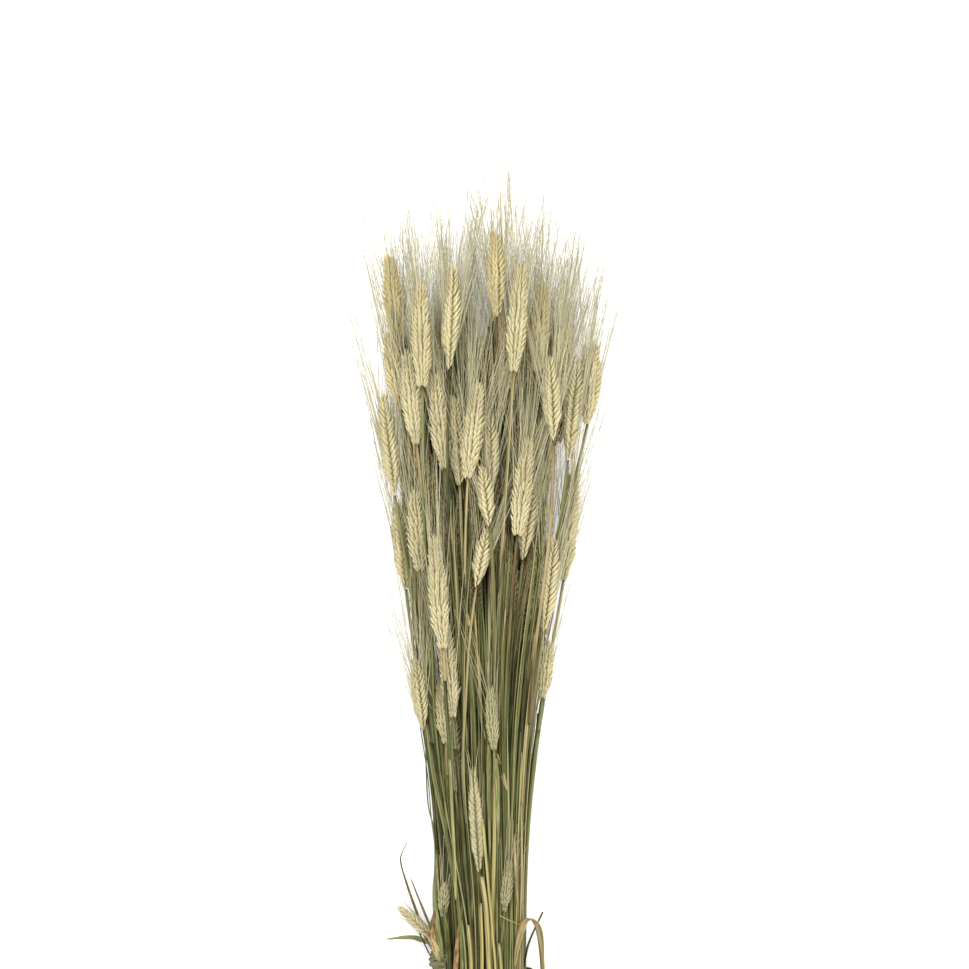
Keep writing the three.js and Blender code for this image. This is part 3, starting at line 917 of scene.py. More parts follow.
def build_ear(name, foot, tip, roll, tone, fat, slim, beard, thick_set, patterns, sizes, draw):
    """One ear: spikelets by turns on both sides of the rachis, each with its bristles."""
    axis, side = ear_frame(foot, tip, roll)
    length = (tip - foot).length
    husk = sizes.husk * (0.5 + 0.5 * fat)
    slim_foot = draw.uniform(0.45, 0.65)
    count = max(10, round(2 * (length - 0.8 * husk) / sizes.rank_pitch))
    core = patterns["core"]
    rachis = stand(foot + axis * RACHIS_FROM, axis, side, (core, core, length * RACHIS_SHARE))
    wisps = wisp_places(tip, axis, side, sizes.awn * beard, draw)
    pieces = [copy_of(patterns["rachis"], rachis, tone)]
    for n in range(count):
        t = n / (count - 1)
        out = side if n % 2 else -side
        full = slim_foot + (1 - slim_foot) * smooth(t / EAR_FULL_FROM)
        full -= EAR_TAPER * smooth((t - EAR_TAPER_FROM) / (1 - EAR_TAPER_FROM))
        open_out = (0.75 + 0.25 * smooth(t / 0.2)) * (1 - 0.3 * smooth((t - 0.65) / 0.35))
        root = foot + axis * (0.0005 + t * (length - 0.95 * husk)) + out * (0.0004 * full)
        big = husk * full * draw.uniform(0.93, 1.07)
        basis = Matrix((axis.cross(out), out, axis)).transposed().to_4x4()
        swing = Matrix.Rotation(draw.gauss(0, 0.05), 4, "Z") @ Matrix.Rotation(draw.gauss(0, 0.03), 4, "Y")
        scale = Matrix.Diagonal((
            big * slim * SPIKELET_WIDE, big * slim * open_out * SPIKELET_DEEP, husk * (0.4 + 0.6 * full), 1.0))
        matrix = Matrix.Translation(root) @ basis @ swing @ scale
        own_tone = tone + draw.gauss(0, 0.05)
        pattern = patterns["spikelets"][draw.randrange(len(patterns["spikelets"]))]
        pieces.append(copy_of(pattern, matrix, own_tone))
        if n % 4 or t > 0.3:
            stretch = beard * (1.12 - 0.2 * t)
            add_awns(pieces, matrix, axis, own_tone, stretch, thick_set, wisps, patterns, sizes, draw)
    crown = stand(foot + axis * (length - 0.9 * husk), axis, side, (husk * 0.42, husk * 0.3, husk * 1.0))
    pieces.append(copy_of(patterns["spikelets"][0], crown, tone))
    add_awns(pieces, crown, axis, tone, beard * 0.9, 1.0, wisps, patterns, sizes, draw)
    return joined(name, pieces)


# Ears that dried to another tone than their height gives. Here and below, ears go by their line in the table of
# stalks, counted from 0.
EAR_TONES = {0: -0.8, 1: -0.85, 3: -0.7, 23: 0.24, 26: 0.4, 30: 0.2, 27: 0.15, 35: 0.0}
# Ears that lean off a little further than their solids, in metres at the tip.
EAR_LEANS = {35: -0.005}
# Ears that stayed slim.
SLIM_EARS = {0: 0.68, 1: 0.64, 2: 0.74, 3: 0.74, 4: 0.9, 14: 0.82, 15: 0.82, 16: 0.88, 25: 0.85, 35: 0.7}
# Ears that lie with the plaited side up.
PLAITED = (2,)
# The share of florets that kept their bristles, and ears that lost more of them.
FULL_BEARD = 0.92
THIN_BEARDS = {2: 0.1, 26: 0.35}
# Ears whose bristles broke short.
SHORT_BEARDS = {0: 0.35, 1: 0.4, 2: 0.3, 35: 0.19}
# How dull the lowest ears are, and the heights between which ears bleach, in millimetres.
DULL = 0.5
DULL_FROM = 74
DULL_RUN = 240


def ear_tone(i):
    """Low ears stay dull, high ones bleach."""
    return EAR_TONES.get(i, -DULL * (1 - smooth((STALKS[i][1] - DULL_FROM) / DULL_RUN)))


# Half the width of the bunch at the tie, what it gains up to the ears, and where, in millimetres.
NECK_HALF = 34
FAN_GAIN = 50
FAN_FROM = 34
FAN_RUN = 420


def half_width(y):
    """Half the width of the bunch at a height, in millimetres."""
    return NECK_HALF + FAN_GAIN * smooth((y - FAN_FROM) / FAN_RUN)


# Ears deep in the bunch, in millimetres: heights of their feet, heights off the floor, how far they run up, and
# how far they keep from the other ears and from each other.
UNDER_TRIES = 6000
UNDER_FEET = (249, 430)
UNDER_HEIGHTS = (9, 46)
UNDER_RISES = (60, 74)
EAR_CLEAR = 9.5
UNDER_CLEAR = 10
# Their fullness, the length of their bristles, and the share of florets that kept them.
UNDER_FAT = 0.85
UNDER_BEARD = 0.9
UNDER_KEPT = 0.2


def under_places(count, draw):
    """Feet and tips of ears deep in the bunch, clear of the other ears, in metres."""
    found = []
    for _ in range(UNDER_TRIES):
        if len(found) == count:
            break
        y = draw.uniform(*UNDER_FEET)
        x = draw.uniform(-0.7, 0.7) * half_width(y)
        z = draw.uniform(*UNDER_HEIGHTS)
        rise = draw.uniform(*UNDER_RISES)
        lean = x / (y + 240)
        free = True
        for step in np.linspace(-2, rise + 4, 9):
            here = (x + lean * step, z)
            for stalk, run in zip(STALKS, RUNS):
                if stalk[1] - 3 < y + step < stalk[1] + ear_rise(stalk) + 3:
                    free = free and math.dist(here, across_at(run, y + step)) > EAR_CLEAR
            for foot, tip in found:
                if foot.y / MM - 5 < y + step < tip.y / MM + 5:
                    free = free and math.dist(here, (foot.x / MM, foot.z / MM)) > UNDER_CLEAR
        if free:
            found.append((Vector((x, y, z)) * MM, Vector((x + lean * rise, y + rise, z)) * MM))
    return found


class WHEAT_OT_ears(bpy.types.Operator):
    """Builds the ears on their stalks, and more ears deep inside"""
    bl_idname = "wheat.ears"
    bl_label = "Ears"

    def execute(self, context):
        sizes = context.scene.wheat_sizes
        draw = random.Random(sizes.seed)
        husk = husk_pattern("husk")
        painted_shade_husk = husk_pattern("painted_shade_husk")
        patterns = {
            "spikelets": [spikelet_pattern(husk, HUSKS, draw) for _ in range(4)],
            "awns": [awn_pattern(bow) for bow in (0.0, 0.03, 0.07, -0.03)],
            "rachis": straw_pattern(5, 2, "husk"),
            "core": RACHIS_R,
        }
        broad = [spikelet_pattern(husk, BROAD_HUSKS, draw) for _ in range(2)]
        # Spikelets for the ears deep inside, in the dark brown husk that paints the shade inside the bunch.
        brown = [spikelet_pattern(painted_shade_husk, HUSKS, draw) for _ in range(2)]
        plait = dict(patterns, spikelets=broad, core=PLAIT_RACHIS_R)
        old = dict(patterns, spikelets=brown)
        for i, stalk in enumerate(STALKS):
            foot = spot(RUNS[i], stalk[1])
            tip = spot(RUNS[i], stalk[1] + ear_rise(stalk))
            tip.x += EAR_LEANS.get(i, 0.0)
            beard = SHORT_BEARDS.get(i, min(1.0, stalk[3] / 60))
            fat = ear_radius(stalk[3]) / EAR_R
            name = f"wheat_ear_{i + 1:02d}"
            slim = SLIM_EARS.get(i, 1.0)
            whole = build_ear(
                name, foot, tip, stalk[5], ear_tone(i), fat, slim, beard, THIN_BEARDS.get(i, FULL_BEARD),
                plait if i in PLAITED else patterns, sizes, draw)
            set_down(whole, "ear", f"ear_{i + 1:02d}")
        for n, (foot, tip) in enumerate(under_places(sizes.under_ears, draw)):
            name = f"under_ear_{n + 1:02d}"
            whole = build_ear(
                name, foot, tip, draw.uniform(0, 90), 0.0, UNDER_FAT, 1.0, UNDER_BEARD, UNDER_KEPT,
                old, sizes, draw)
            set_down(whole, "ear")
        drop(husk, painted_shade_husk, *patterns["spikelets"], *broad, *brown, *patterns["awns"], patterns["rachis"])
        return {"FINISHED"}


def lay_straw(pattern, path, radii, tone, squash=(1.0, 1.0)):
    """A copy of a tube laid along a path of points, with a radius at each, both in metres.

    Its Y and Z change places, which turns it inside out where the path runs up, so its faces are turned back.
    """
    piece = copy_of(pattern, Matrix.Identity(4), tone)
    places = corners(piece.data)
    path = np.asarray(path)
    steps = np.linspace(0, 1, len(path))
    t = places[:, 2]
    r = np.interp(t, steps, radii)
    move_corners(piece.data, np.column_stack((
        np.interp(t, steps, path[:, 0]) + places[:, 0] * r * squash[0],
        np.interp(t, steps, path[:, 1]),
        np.interp(t, steps, path[:, 2]) + places[:, 1] * r * squash[1],
    )))
    if path[-1, 1] > path[0, 1]:
        piece.data.flip_normals()
    return piece


# Ears of this layer or a higher one lie on the front.
FRONT_LAYER = 4


def run_points(run, low, high, count):
    """Even points of a run between two heights, eased so that no kink shows, in metres."""
    heights = np.linspace(low, high, count)
    x, z = across_at(run, heights)
    return eased(np.column_stack((x, heights, z)), 4) * MM


def clear_height(run, low, high):
    """How far up a run goes before it meets an ear or hides one on the front, in millimetres."""
    for y in np.arange(max(low, NECK_HIGH), high, 4.0):
        x, z = across_at(run, y)
        for stalk, stalk_run in zip(STALKS, RUNS):
            if stalk[1] - 4 < y < stalk[1] + ear_rise(stalk):
                ear_x, ear_z = across_at(stalk_run, y)
                off, up = x - ear_x, z - ear_z
                wide = ear_radius(stalk[3]) * 0.9
                hides = stalk[4] >= FRONT_LAYER and up > 0 and abs(off) < wide
                if hides or math.hypot(off, up) < wide:
                    return y - 4
    return high


# Tones of straw: the share up to each line, and its range from green over pale and tan to brown.
STRAW_TONES = ((0.32, -0.1, 0.1), (0.62, 0.12, 0.36), (0.85, 0.42, 0.62), (0.97, 0.6, 0.8), (1.0, 0.9, 1.0))
INNER_TONES = (-0.05, 0.22)


def straw_tone(draw):
    """Most straws stay green, some bleach, few go tan or brown."""
    pick = draw.random()
    _, low, high = next(line for line in STRAW_TONES if pick < line[0])
    return draw.uniform(low, high)


# Points along a culm, a sheath and a loose straw, the heights between which sheaths and joints sit, in
# millimetres, and the size of a joint as a share of the sheath's radius and in metres.
CULM_POINTS = 60
SHEATH_POINTS = 40
LOOSE_POINTS = 50
SHEATH_TOPS = (70, 300)
JOINT_PLACES = (-70, -25)
JOINT_WIDE = 2.2
JOINT_LONG = 0.004


def build_stalk(i, patterns, sizes, draw):
    """Culm, leaf sheath and swollen joints of one stalk."""
    stalk = STALKS[i]
    low = BUTT_Y + draw.uniform(2, 12)
    high = stalk[1] + 1.5
    culm = sizes.culm_radius * draw.uniform(0.85, 1.15)
    tone = straw_tone(draw)
    path = run_points(RUNS[i], low, high, CULM_POINTS)
    radii = np.interp(path[:, 1], (low * MM, (high - 12) * MM, high * MM), (culm * 1.25, culm, culm * 0.8))
    pieces = [lay_straw(patterns["culm"], path, radii, tone)]
    sheath_top = min(draw.uniform(*SHEATH_TOPS), high - 24)
    if sheath_top > low + 60:
        wrap = run_points(RUNS[i], low + 1, sheath_top, SHEATH_POINTS)
        wide = sizes.sheath_radius * draw.uniform(0.85, 1.12)
        slim = np.interp(wrap[:, 1], (low * MM, (sheath_top - 4) * MM, sheath_top * MM),
                         (wide, max(culm * 1.25, wide * 0.75), max(culm * 1.35, wide * 0.85)))
        flat = draw.uniform(0.85, 1.2)
        pieces.append(lay_straw(patterns["sheath"], wrap, slim, straw_tone(draw), (flat, 1 / flat)))
    wide = sizes.sheath_radius * JOINT_WIDE
    turned = Matrix.Rotation(-math.pi / 2, 4, "X") @ Matrix.Diagonal((wide, wide, JOINT_LONG, 1))
    place = Matrix.Translation(spot(RUNS[i], draw.uniform(*JOINT_PLACES)))
    knot = place @ turned @ Matrix.Translation((0, 0, -0.5))
    pieces.append(copy_of(patterns["joint"], knot, straw_tone(draw)))
    return pieces


def joint_pattern():
    """The swollen ring at a joint of the straw, along Z."""
    deselect()
    bpy.ops.mesh.primitive_uv_sphere_add(segments=8, ring_count=6, radius=0.5, location=(0, 0, 0.5))
    piece = start_pattern("joint_pattern")
    pick_vertices(piece, lambda co: abs(co.z - 0.5) < 0.1)
    bpy.ops.transform.resize(value=(0.92, 0.92, 1), center_override=(0, 0, 0.5))
    return finish_pattern(piece, FINISHES["sheath"])


class WHEAT_OT_stems(bpy.types.Operator):
    """Lays the stems of each row with their sheaths and joints"""
    bl_idname = "wheat.stems"
    bl_label = "Stems"

    def execute(self, context):
        sizes = context.scene.wheat_sizes
        draw = random.Random(sizes.seed + 1)
        patterns = {
            "culm": straw_pattern(8, 44, "culm"),
            "sheath": straw_pattern(8, 26, "sheath"),
            "joint": joint_pattern(),
        }
        for row in range(len(ROWS)):
            pieces = []
            for i in range(len(STALKS)):
                if PLACES[i][2] == row:
                    pieces += build_stalk(i, patterns, sizes, draw)
            whole = joined(f"straw_row_{row + 1}", pieces)
            set_down(whole, "stem", f"stems_{row + 1}")
        drop(*patterns.values())
        return {"FINISHED"}


# Stalks whose ears start higher than this lead the loose straws.
TALL = 244
# Of five loose straws, this many are thin ones that lie high; the rest fill the inside.
UPPER_OF_FIVE = 3
UPPER_LAYER = 3
# Their widths as shares of a culm's, and the heights where they end.
UPPER_WIDTHS = (0.24, 0.7)
INNER_WIDTHS = (0.4, 1.05)
LOOSE_TOPS = (110, 430)


def shared_run(draw, layer=0):
    """A run that slips from beside one tall stalk to beside a near one, of that layer or higher."""
    tall = [i for i, stalk in enumerate(STALKS) if stalk[1] > TALL and stalk[4] >= layer]
    a = draw.choice(tall)
    near = sorted(tall, key=lambda j: np.abs(RUNS[j][8:18] - RUNS[a][8:18]).sum())
    b = near[draw.randrange(1, 7)]
    share = np.linspace(draw.uniform(0, 1), draw.uniform(0, 1), STATIONS)[:, None]
    return RUNS[a] * share + RUNS[b] * (1 - share)


def held(run):
    """Keeps a run inside the tie where it passes through."""
    near = np.abs(HEIGHTS) < 40
    x = np.clip(run[near, 0], 2 - TIE_A, TIE_A - 2)
    run[near, 0] = x
    run[near, 1] = np.minimum(run[near, 1], CENTRE_Z + (TIE_B - 1) * np.sqrt(1 - (x / TIE_A) ** 2))
    return run


class WHEAT_OT_loose_straws(bpy.types.Operator):
    """Adds earless straws and broken stubs among the stems"""
    bl_idname = "wheat.loose_straws"
    bl_label = "Loose straws"

    def execute(self, context):
        sizes = context.scene.wheat_sizes
        draw = random.Random(sizes.seed + 2)
        pattern = straw_pattern(6, 20, "culm")
        pieces = []
        for n in range(sizes.loose_straws):
            upper = n % 5 < UPPER_OF_FIVE
            run = shared_run(draw, UPPER_LAYER if upper else 0)
            run[:, 0] += draw.gauss(0, 2.0)
            run[:, 0] += draw.gauss(0, 0.9) * np.sin(HEIGHTS / draw.uniform(50, 110) + draw.uniform(0, 6))
            run[:, 1] += draw.uniform(0.5, 4.5) if upper else draw.uniform(-1.0, 3.0)
            high = clear_height(run, 40, draw.uniform(*LOOSE_TOPS))
            path = run_points(held(run), BUTT_Y + draw.uniform(2, 16), max(60, high), LOOSE_POINTS)
            wide = sizes.culm_radius * draw.uniform(*(UPPER_WIDTHS if upper else INNER_WIDTHS))
            flat = draw.uniform(0.7, 1.5)
            radii = wide * np.interp(np.linspace(0, 1, LOOSE_POINTS), (0, 0.8, 1), (1.1, 0.9, 0.15))
            tone = straw_tone(draw) if upper else draw.uniform(*INNER_TONES)
            pieces.append(lay_straw(pattern, path, radii, tone, (flat, 1 / flat)))
        whole = joined("loose_straws", pieces)
        set_down(whole, "stem")
        drop(pattern)
        return {"FINISHED"}


# The blades with solids of their own: points of the run in millimetres, width, the side they turn to, and tone.
BLADES = (
    (((24, 8, 39.8), (26, 26, 44), (30, 40, 48), (35, 46, 48.5), (41, 41, 46.5), (44, 28, 43),
      (45, 8, 36), (47, -26, 24), (50, -61, 12)), 9.0, (0.6, 0, 0.8), 0.78),
    (((-37.5, 19.6, 24), (-44, 31, 13), (-50, 48, 10), (-57, 69, 14), (-61, 87, 20), (-56, 100, 25)),
     2.6, (1, 0.3, 0.2), 0.97),
    (((-33, 26, 37), (-42, 48, 43), (-53, 76, 47)), 2.4, (1, 0.3, 0.2), 0.97),
    (((-39.5, 24, 22), (-52, 28, 19), (-72, 26, 13)), 4.5, (0, 1, 0.2), 0.3),
)


def curve_points(points, count):
    """Even points on a smooth run through the given ones."""
    points = np.asarray(points, dtype=float)
    ends = np.vstack((2 * points[0] - points[1], points, 2 * points[-1] - points[-2]))
    fine = []
    for a, b, c, d in zip(ends[:-3], ends[1:-2], ends[2:-1], ends[3:]):
        for t in np.linspace(0, 1, 20, endpoint=False):
            fine.append(0.5 * (2 * b + (c - a) * t + (2 * a - 5 * b + 4 * c - d) * t * t
                               + (3 * b - a - 3 * c + d) * t ** 3))
    fine = np.array(fine + [points[-1]])
    far = np.concatenate(([0], np.cumsum(np.linalg.norm(np.diff(fine, axis=0), axis=1))))
    even = np.linspace(0, far[-1], count)
    return np.column_stack([np.interp(even, far, fine[:, k]) for k in range(3)])


BLADE_POINTS = 60


def lay_blade(pattern, points, width, turned, tone, draw):
    """A copy of the strip laid along a run, narrow at both ends, a little wavy and curled."""
    piece = copy_of(pattern, Matrix.Identity(4), tone)
    places = corners(piece.data)
    path = curve_points(points, BLADE_POINTS)
    ways = np.gradient(path, axis=0)
    ways /= np.linalg.norm(ways, axis=1)[:, None]
    across = np.asarray(turned, dtype=float) - (ways @ np.asarray(turned, dtype=float))[:, None] * ways
    across /= np.linalg.norm(across, axis=1)[:, None]
    up = np.cross(across, ways)
    t = places[:, 2]
    steps = np.linspace(0, 1, BLADE_POINTS)
    wide = width * np.minimum(1, 0.35 + 3 * t) * np.sqrt(np.maximum(0.02, 1 - t))
    wave = 0.06 * width * np.sin(t * draw.uniform(14, 22) + 5 * places[:, 0])

    def at(values):
        """Values along the run, at each corner."""
        return np.column_stack([np.interp(t, steps, values[:, k]) for k in range(3)])

    off = places[:, 0] * wide
    lift = places[:, 1] * wide + wave
    move_corners(piece.data, (at(path) + at(across) * off[:, None] + at(up) * lift[:, None]) * MM)
    return piece


# Thickness of the blades and of the strip, in metres.
BLADE_THICK = 0.0004
LOOSE_BLADE_THICK = 0.0003
LAP_THICK = 0.0009
TURN_THICK = 0.0011
# Widths of the loose leaves, in millimetres.
LEAF_WIDTHS = (1.5, 5.0)
INNER_LEAF_WIDTHS = (7, 12)


def thicken(piece, thickness):
    """Gives a strip its two faces."""
    deselect()
    piece.select_set(True)
    bpy.context.view_layer.objects.active = piece
    solidify = piece.modifiers.new("thickness", "SOLIDIFY")
    solidify.thickness = thickness
    solidify.offset = 0
    bpy.ops.object.modifier_apply(modifier=solidify.name)


class WHEAT_OT_blades(bpy.types.Operator):
    """Lays the dry leaf blades round the tie"""
    bl_idname = "wheat.blades"
    bl_label = "Dry blades"

    def execute(self, context):
        draw = random.Random(context.scene.wheat_sizes.seed + 3)
        pattern = blade_pattern(4, 40)
        for n, (points, width, turned, tone) in enumerate(BLADES):
            piece = joined(f"dry_blade_{n + 1}", [lay_blade(pattern, points, width, turned, tone, draw)])
            thicken(piece, BLADE_THICK)
            set_down(piece, "leaf", f"leaf_{n + 1}")
        drop(pattern)
        return {"FINISHED"}


class WHEAT_OT_loose_blades(bpy.types.Operator):
    """Lays dry leaves along the stems, and dark ones deep inside that stand in for the shade in the bunch"""
    bl_idname = "wheat.loose_blades"
    bl_label = "Loose blades"

    def execute(self, context):
        sizes = context.scene.wheat_sizes
        draw = random.Random(sizes.seed + 5)
        pattern = blade_pattern(4, 24)
        pieces = []
        for n in range(sizes.loose_blades + sizes.painted_shade_blades):
            inner = n < sizes.painted_shade_blades
            run = shared_run(draw)
            run[:, 0] += draw.gauss(0, 1.5)
            if inner:
                run = run * np.array((draw.uniform(0.2, 0.85), draw.uniform(0.35, 0.75)))
            else:
                run[:, 1] += draw.uniform(0.5, 4.0)
            low = draw.uniform(-60, 390 if inner else 210)
            far = low + draw.uniform(80, 210)
            high = min(far, 492) if inner else clear_height(run, low, far)
            if high < low + 40:
                continue
            points = []
            for y in np.linspace(low, high, 6):
                x, z = across_at(run, y)
                points.append((x + draw.gauss(0, 0.8), y, z + draw.gauss(0, 0.8)))
            turned = (1, 0, draw.gauss(0, 0.4))
            width = draw.uniform(*(INNER_LEAF_WIDTHS if inner else LEAF_WIDTHS))
            # Blades deep inside take the darkest tones, as painted shade inside the bunch.
            if inner:
                tone = draw.uniform(-0.1, 0.1)
            else:
                tone = draw.choice((straw_tone(draw), draw.uniform(0.6, 0.95)))
            pieces.append(lay_blade(pattern, points, width, turned, tone, draw))
        whole = joined("loose_blades", pieces)
        thicken(whole, LOOSE_BLADE_THICK)
        set_down(whole, "leaf")
        drop(pattern)
        return {"FINISHED"}


def top_at(x, y):
    """Height of the upper side of the bunch at a place, in millimetres."""
    best = 0.0
    for stalk, run in zip(STALKS, RUNS):
        wide = reach(stalk, y) + 0.8
        run_x, run_z = across_at(run, y)
        off = x - run_x
        if y < stalk[1] + ear_rise(stalk) and abs(off) < wide:
            best = max(best, run_z + math.sqrt(wide ** 2 - off ** 2))
    return best


# What lies on the front of the bunch: whether it is a blade, its width, its tone, and its run as x and y in
# millimetres, with a height as well where it doesn't rest on the stalks.
FRONT = (
    (False, 3.9, 0.82, ((-0.5, 78), (3, 52), (5.4, 9), (7, -50), (8, -98))),
    (False, 2.0, 0.68, ((0.7, 119), (4.4, 75), (6.7, 52), (8.1, 33), (10, 9), (12, -50), (12, -98))),
    (True, 5.0, 0.92, ((-20.5, -24, 44), (-20, 2, 45.6), (-19.2, 13, 47.4), (-18, 32, 49.2),
                       (-15.6, 48, 49.8), (-13.4, 68, 49.4))),
    (False, 3.0, 0.7, ((-10.4, 41), (-8.1, 9), (-8, -60), (-8, -97))),
    (False, 2.6, 0.66, ((12.6, 27), (14.1, 9), (16, -40), (17, -99))),
    (True, 6.5, 0.84, ((-31.5, 13, 38), (-34.5, 22, 40), (-37.4, 36, 40), (-34.5, 54, 41))),
    (False, 2.2, 0.2, ((-30.5, 12, 36), (-32.5, 30, 38), (-34, 60, 37), (-34.5, 95, 35), (-35, 150, 30))),
    (True, 6.0, 0.3, ((-29.5, 14, 40), (-32, 30, 40), (-35, 55, 38), (-36, 80, 37))),
    (False, 1.5, 0.92, ((-32, 12, 34), (-34.5, 28, 35), (-35.5, 50, 35), (-35, 82, 33), (-33, 124, 29))),
    (True, 7.0, 0.1, ((-26, -20), (-25, 10), (-26.5, 38), (-29.5, 62))),
    (True, 9.0, 0.04, ((-28, -12, 30), (-28.5, 20, 32), (-30.5, 50, 32), (-34, 92, 31))),
    (False, 2.2, 0.93, ((23.5, 112), (26, 60), (26.5, 20), (25, -90))),
    (False, 1.7, 0.86, ((29, 132), (29.5, 84), (28.5, 30), (27, -95))),
    (False, 1.6, 0.68, ((13.3, 48.5, 50), (19.6, 45.2, 50.5), (28, 41.4, 48.5))),
    (False, 2.4, 0.5, ((-23.7, 165), (-22.2, 134), (-19, 60))),
    (True, 3.6, 0.74, ((18.5, 141), (14, 158), (11, 172))),
    (True, 3.2, 0.9, ((-8.9, 263), (-11, 272), (-14, 284))),
    (False, 2.6, 0.92, ((37.7, 284), (38, 245), (35, 190))),
    (False, 1.3, 0.85, ((20.7, 356), (16, 318), (11.8, 282))),
    (False, 1.8, 0.06, ((31, 8, 33), (35, 27, 38), (45.1, 50.3, 44))),
    (False, 1.2, 0.02, ((-49, 37, 22), (-45, 28, 23), (-40.7, 19, 24), (-36, 10, 25))),
    (True, 3.8, 0.36, ((4.5, 176), (5.5, 112), (6.5, 84))),
    (True, 4.2, 0.34, ((10.5, 166), (11.8, 122), (12, 96))),
    (False, 2.6, 0.32, ((-40, 178), (-33, 140), (-26, 104), (-19, 66), (-15, 25), (-15, -60))),
    (False, 1.6, 0.36, ((-41, 190), (-36, 150), (-28, 112), (-20, 70), (-12.5, 20), (-11, -70))),
    (False, 2.2, 0.12, ((-37, 176), (-30, 130), (-22, 88), (-16.5, 50), (-14, 0), (-14, -80))),
    (False, 1.2, 0.4, ((-31, 156), (-25, 118), (-18, 82), (-12, 46), (-8, 5), (-7, -80))),
    (False, 1.0, 0.6, ((31, 206), (28.5, 150), (26.5, 100), (25.5, 40), (24, -30), (24, -85))),
    (False, 1.0, 0.16, ((-42, 176, 36), (-41, 141, 35), (-39.6, 126, 35), (-36, 111, 36), (-33.7, 82, 38))),
    (False, 0.8, 0.3, ((-46, 186, 31), (-40.5, 150, 32), (-38, 121, 33), (-35, 96, 34), (-33, 60, 36))),
    (False, 0.9, 0.22, ((41.5, 197, 34), (36.5, 141, 35), (33.4, 97, 36), (31.5, 55, 37))),
)
# Half the length of stem under the tie, and the height that front straws keep there, in millimetres.
TIE_HALF = 16
TIE_CLEAR = 45.8
FRONT_POINTS = 40


def front_run(points):
    """A run across the picture, laid on the upper side of the bunch where it has no heights of its own."""
    if len(points[0]) == 3:
        return curve_points(points, FRONT_POINTS)
    flat = curve_points([(x, y, 0) for x, y in points], FRONT_POINTS)
    heights = np.array([top_at(x, y) for x, y, _ in flat])
    smoothed = np.array([heights[max(0, k - 3):k + 4].max() for k in range(len(heights))])
    smoothed = eased(smoothed, 12)
    flat[:, 2] = np.where(np.abs(flat[:, 1]) < TIE_HALF, np.minimum(smoothed, TIE_CLEAR), smoothed)
    return flat


class WHEAT_OT_front(bpy.types.Operator):
    """Lays the straws and blades that show on the front of the bunch"""
    bl_idname = "wheat.front"
    bl_label = "Front straws"

    def execute(self, context):
        draw = random.Random(context.scene.wheat_sizes.seed + 6)
        strip = blade_pattern(4, 24)
        straw = straw_pattern(8, 30, "sheath")
        blades = []
        straws = []
        for bladed, width, tone, points in FRONT:
            run = front_run(points)
            if bladed:
                blades.append(lay_blade(strip, run[::4], width, (1, 0, 0.15), tone, draw))
            else:
                straws.append(lay_straw(straw, run * MM, np.full(len(run), width / 2 * MM), tone))
        for name, slot, pieces in (("front_blades", "leaf", blades), ("front_straws", "stem", straws)):
            whole = joined(name, pieces)
            if slot == "leaf":
                thicken(whole, BLADE_THICK)
            set_down(whole, slot)
        drop(strip, straw)
        return {"FINISHED"}


# The turns of the strip, in millimetres: pitch, width, and how far they stand off the solid.
TURNS = 3
TURN_PITCH = 4.4
TURN_WIDTH = 4.6
TURN_OUT = 0.9
# Their long and short waves along the stems, how far below the middle they sit, and their edges, in metres.
TURN_WAVE = 0.0007
TURN_RIPPLE = 0.0003
TURN_LOW = 0.0024
TURN_EDGE = 0.0003
# Where the laps start and end round the bunch.
LAP_FROM = math.radians(-165)
LAP_TO = math.radians(-50)
# Middle, width and rise of the two laps in millimetres, and where their creases start.
LAPS = ((12.6, 6.4, 1.4, 0.0), (7.2, 7.4, 2.3, 1.7))


def tie_lap(middle, width, rise, start):
    """The end of the strip: a last lap over the left side that slips in under the front straws."""
    lap = blade_pattern(6, 48)
    places = corners(lap.data)
    angle = LAP_FROM + (LAP_TO - LAP_FROM) * places[:, 2]
    sunk = 3.5 * np.maximum(0, places[:, 2] - 0.72) / 0.28 + 2.0 * np.maximum(0, 0.2 - places[:, 2]) / 0.2
    crease = 0.6 * np.cos(places[:, 0] * 9 + 2.5 * np.sin(angle * 4 + start)) + 1.2 * np.sin(
        angle * 13 + start) * places[:, 0]
    out = rise - sunk + crease
    across = places[:, 0] * width * (1 - 0.25 * np.sin(places[:, 2] * 9 + start) ** 2)
    move_corners(lap.data, np.column_stack((
        (TIE_A + out) * np.sin(angle),
        middle + across + 3 * np.sin(places[:, 2] * 2.4),
        CENTRE_Z + (TIE_B + out) * np.cos(angle),
    )) * MM)
    # Painted shade: the crease troughs go into 'along', which the tie's material darkens.
    mark(lap.data, "along", 0.5 + 0.45 * np.clip(crease, -1, 0))
    lap.data.materials.clear()
    lap.data.materials.append(FINISHES["tie"])
    thicken(lap, LAP_THICK)
    return lap


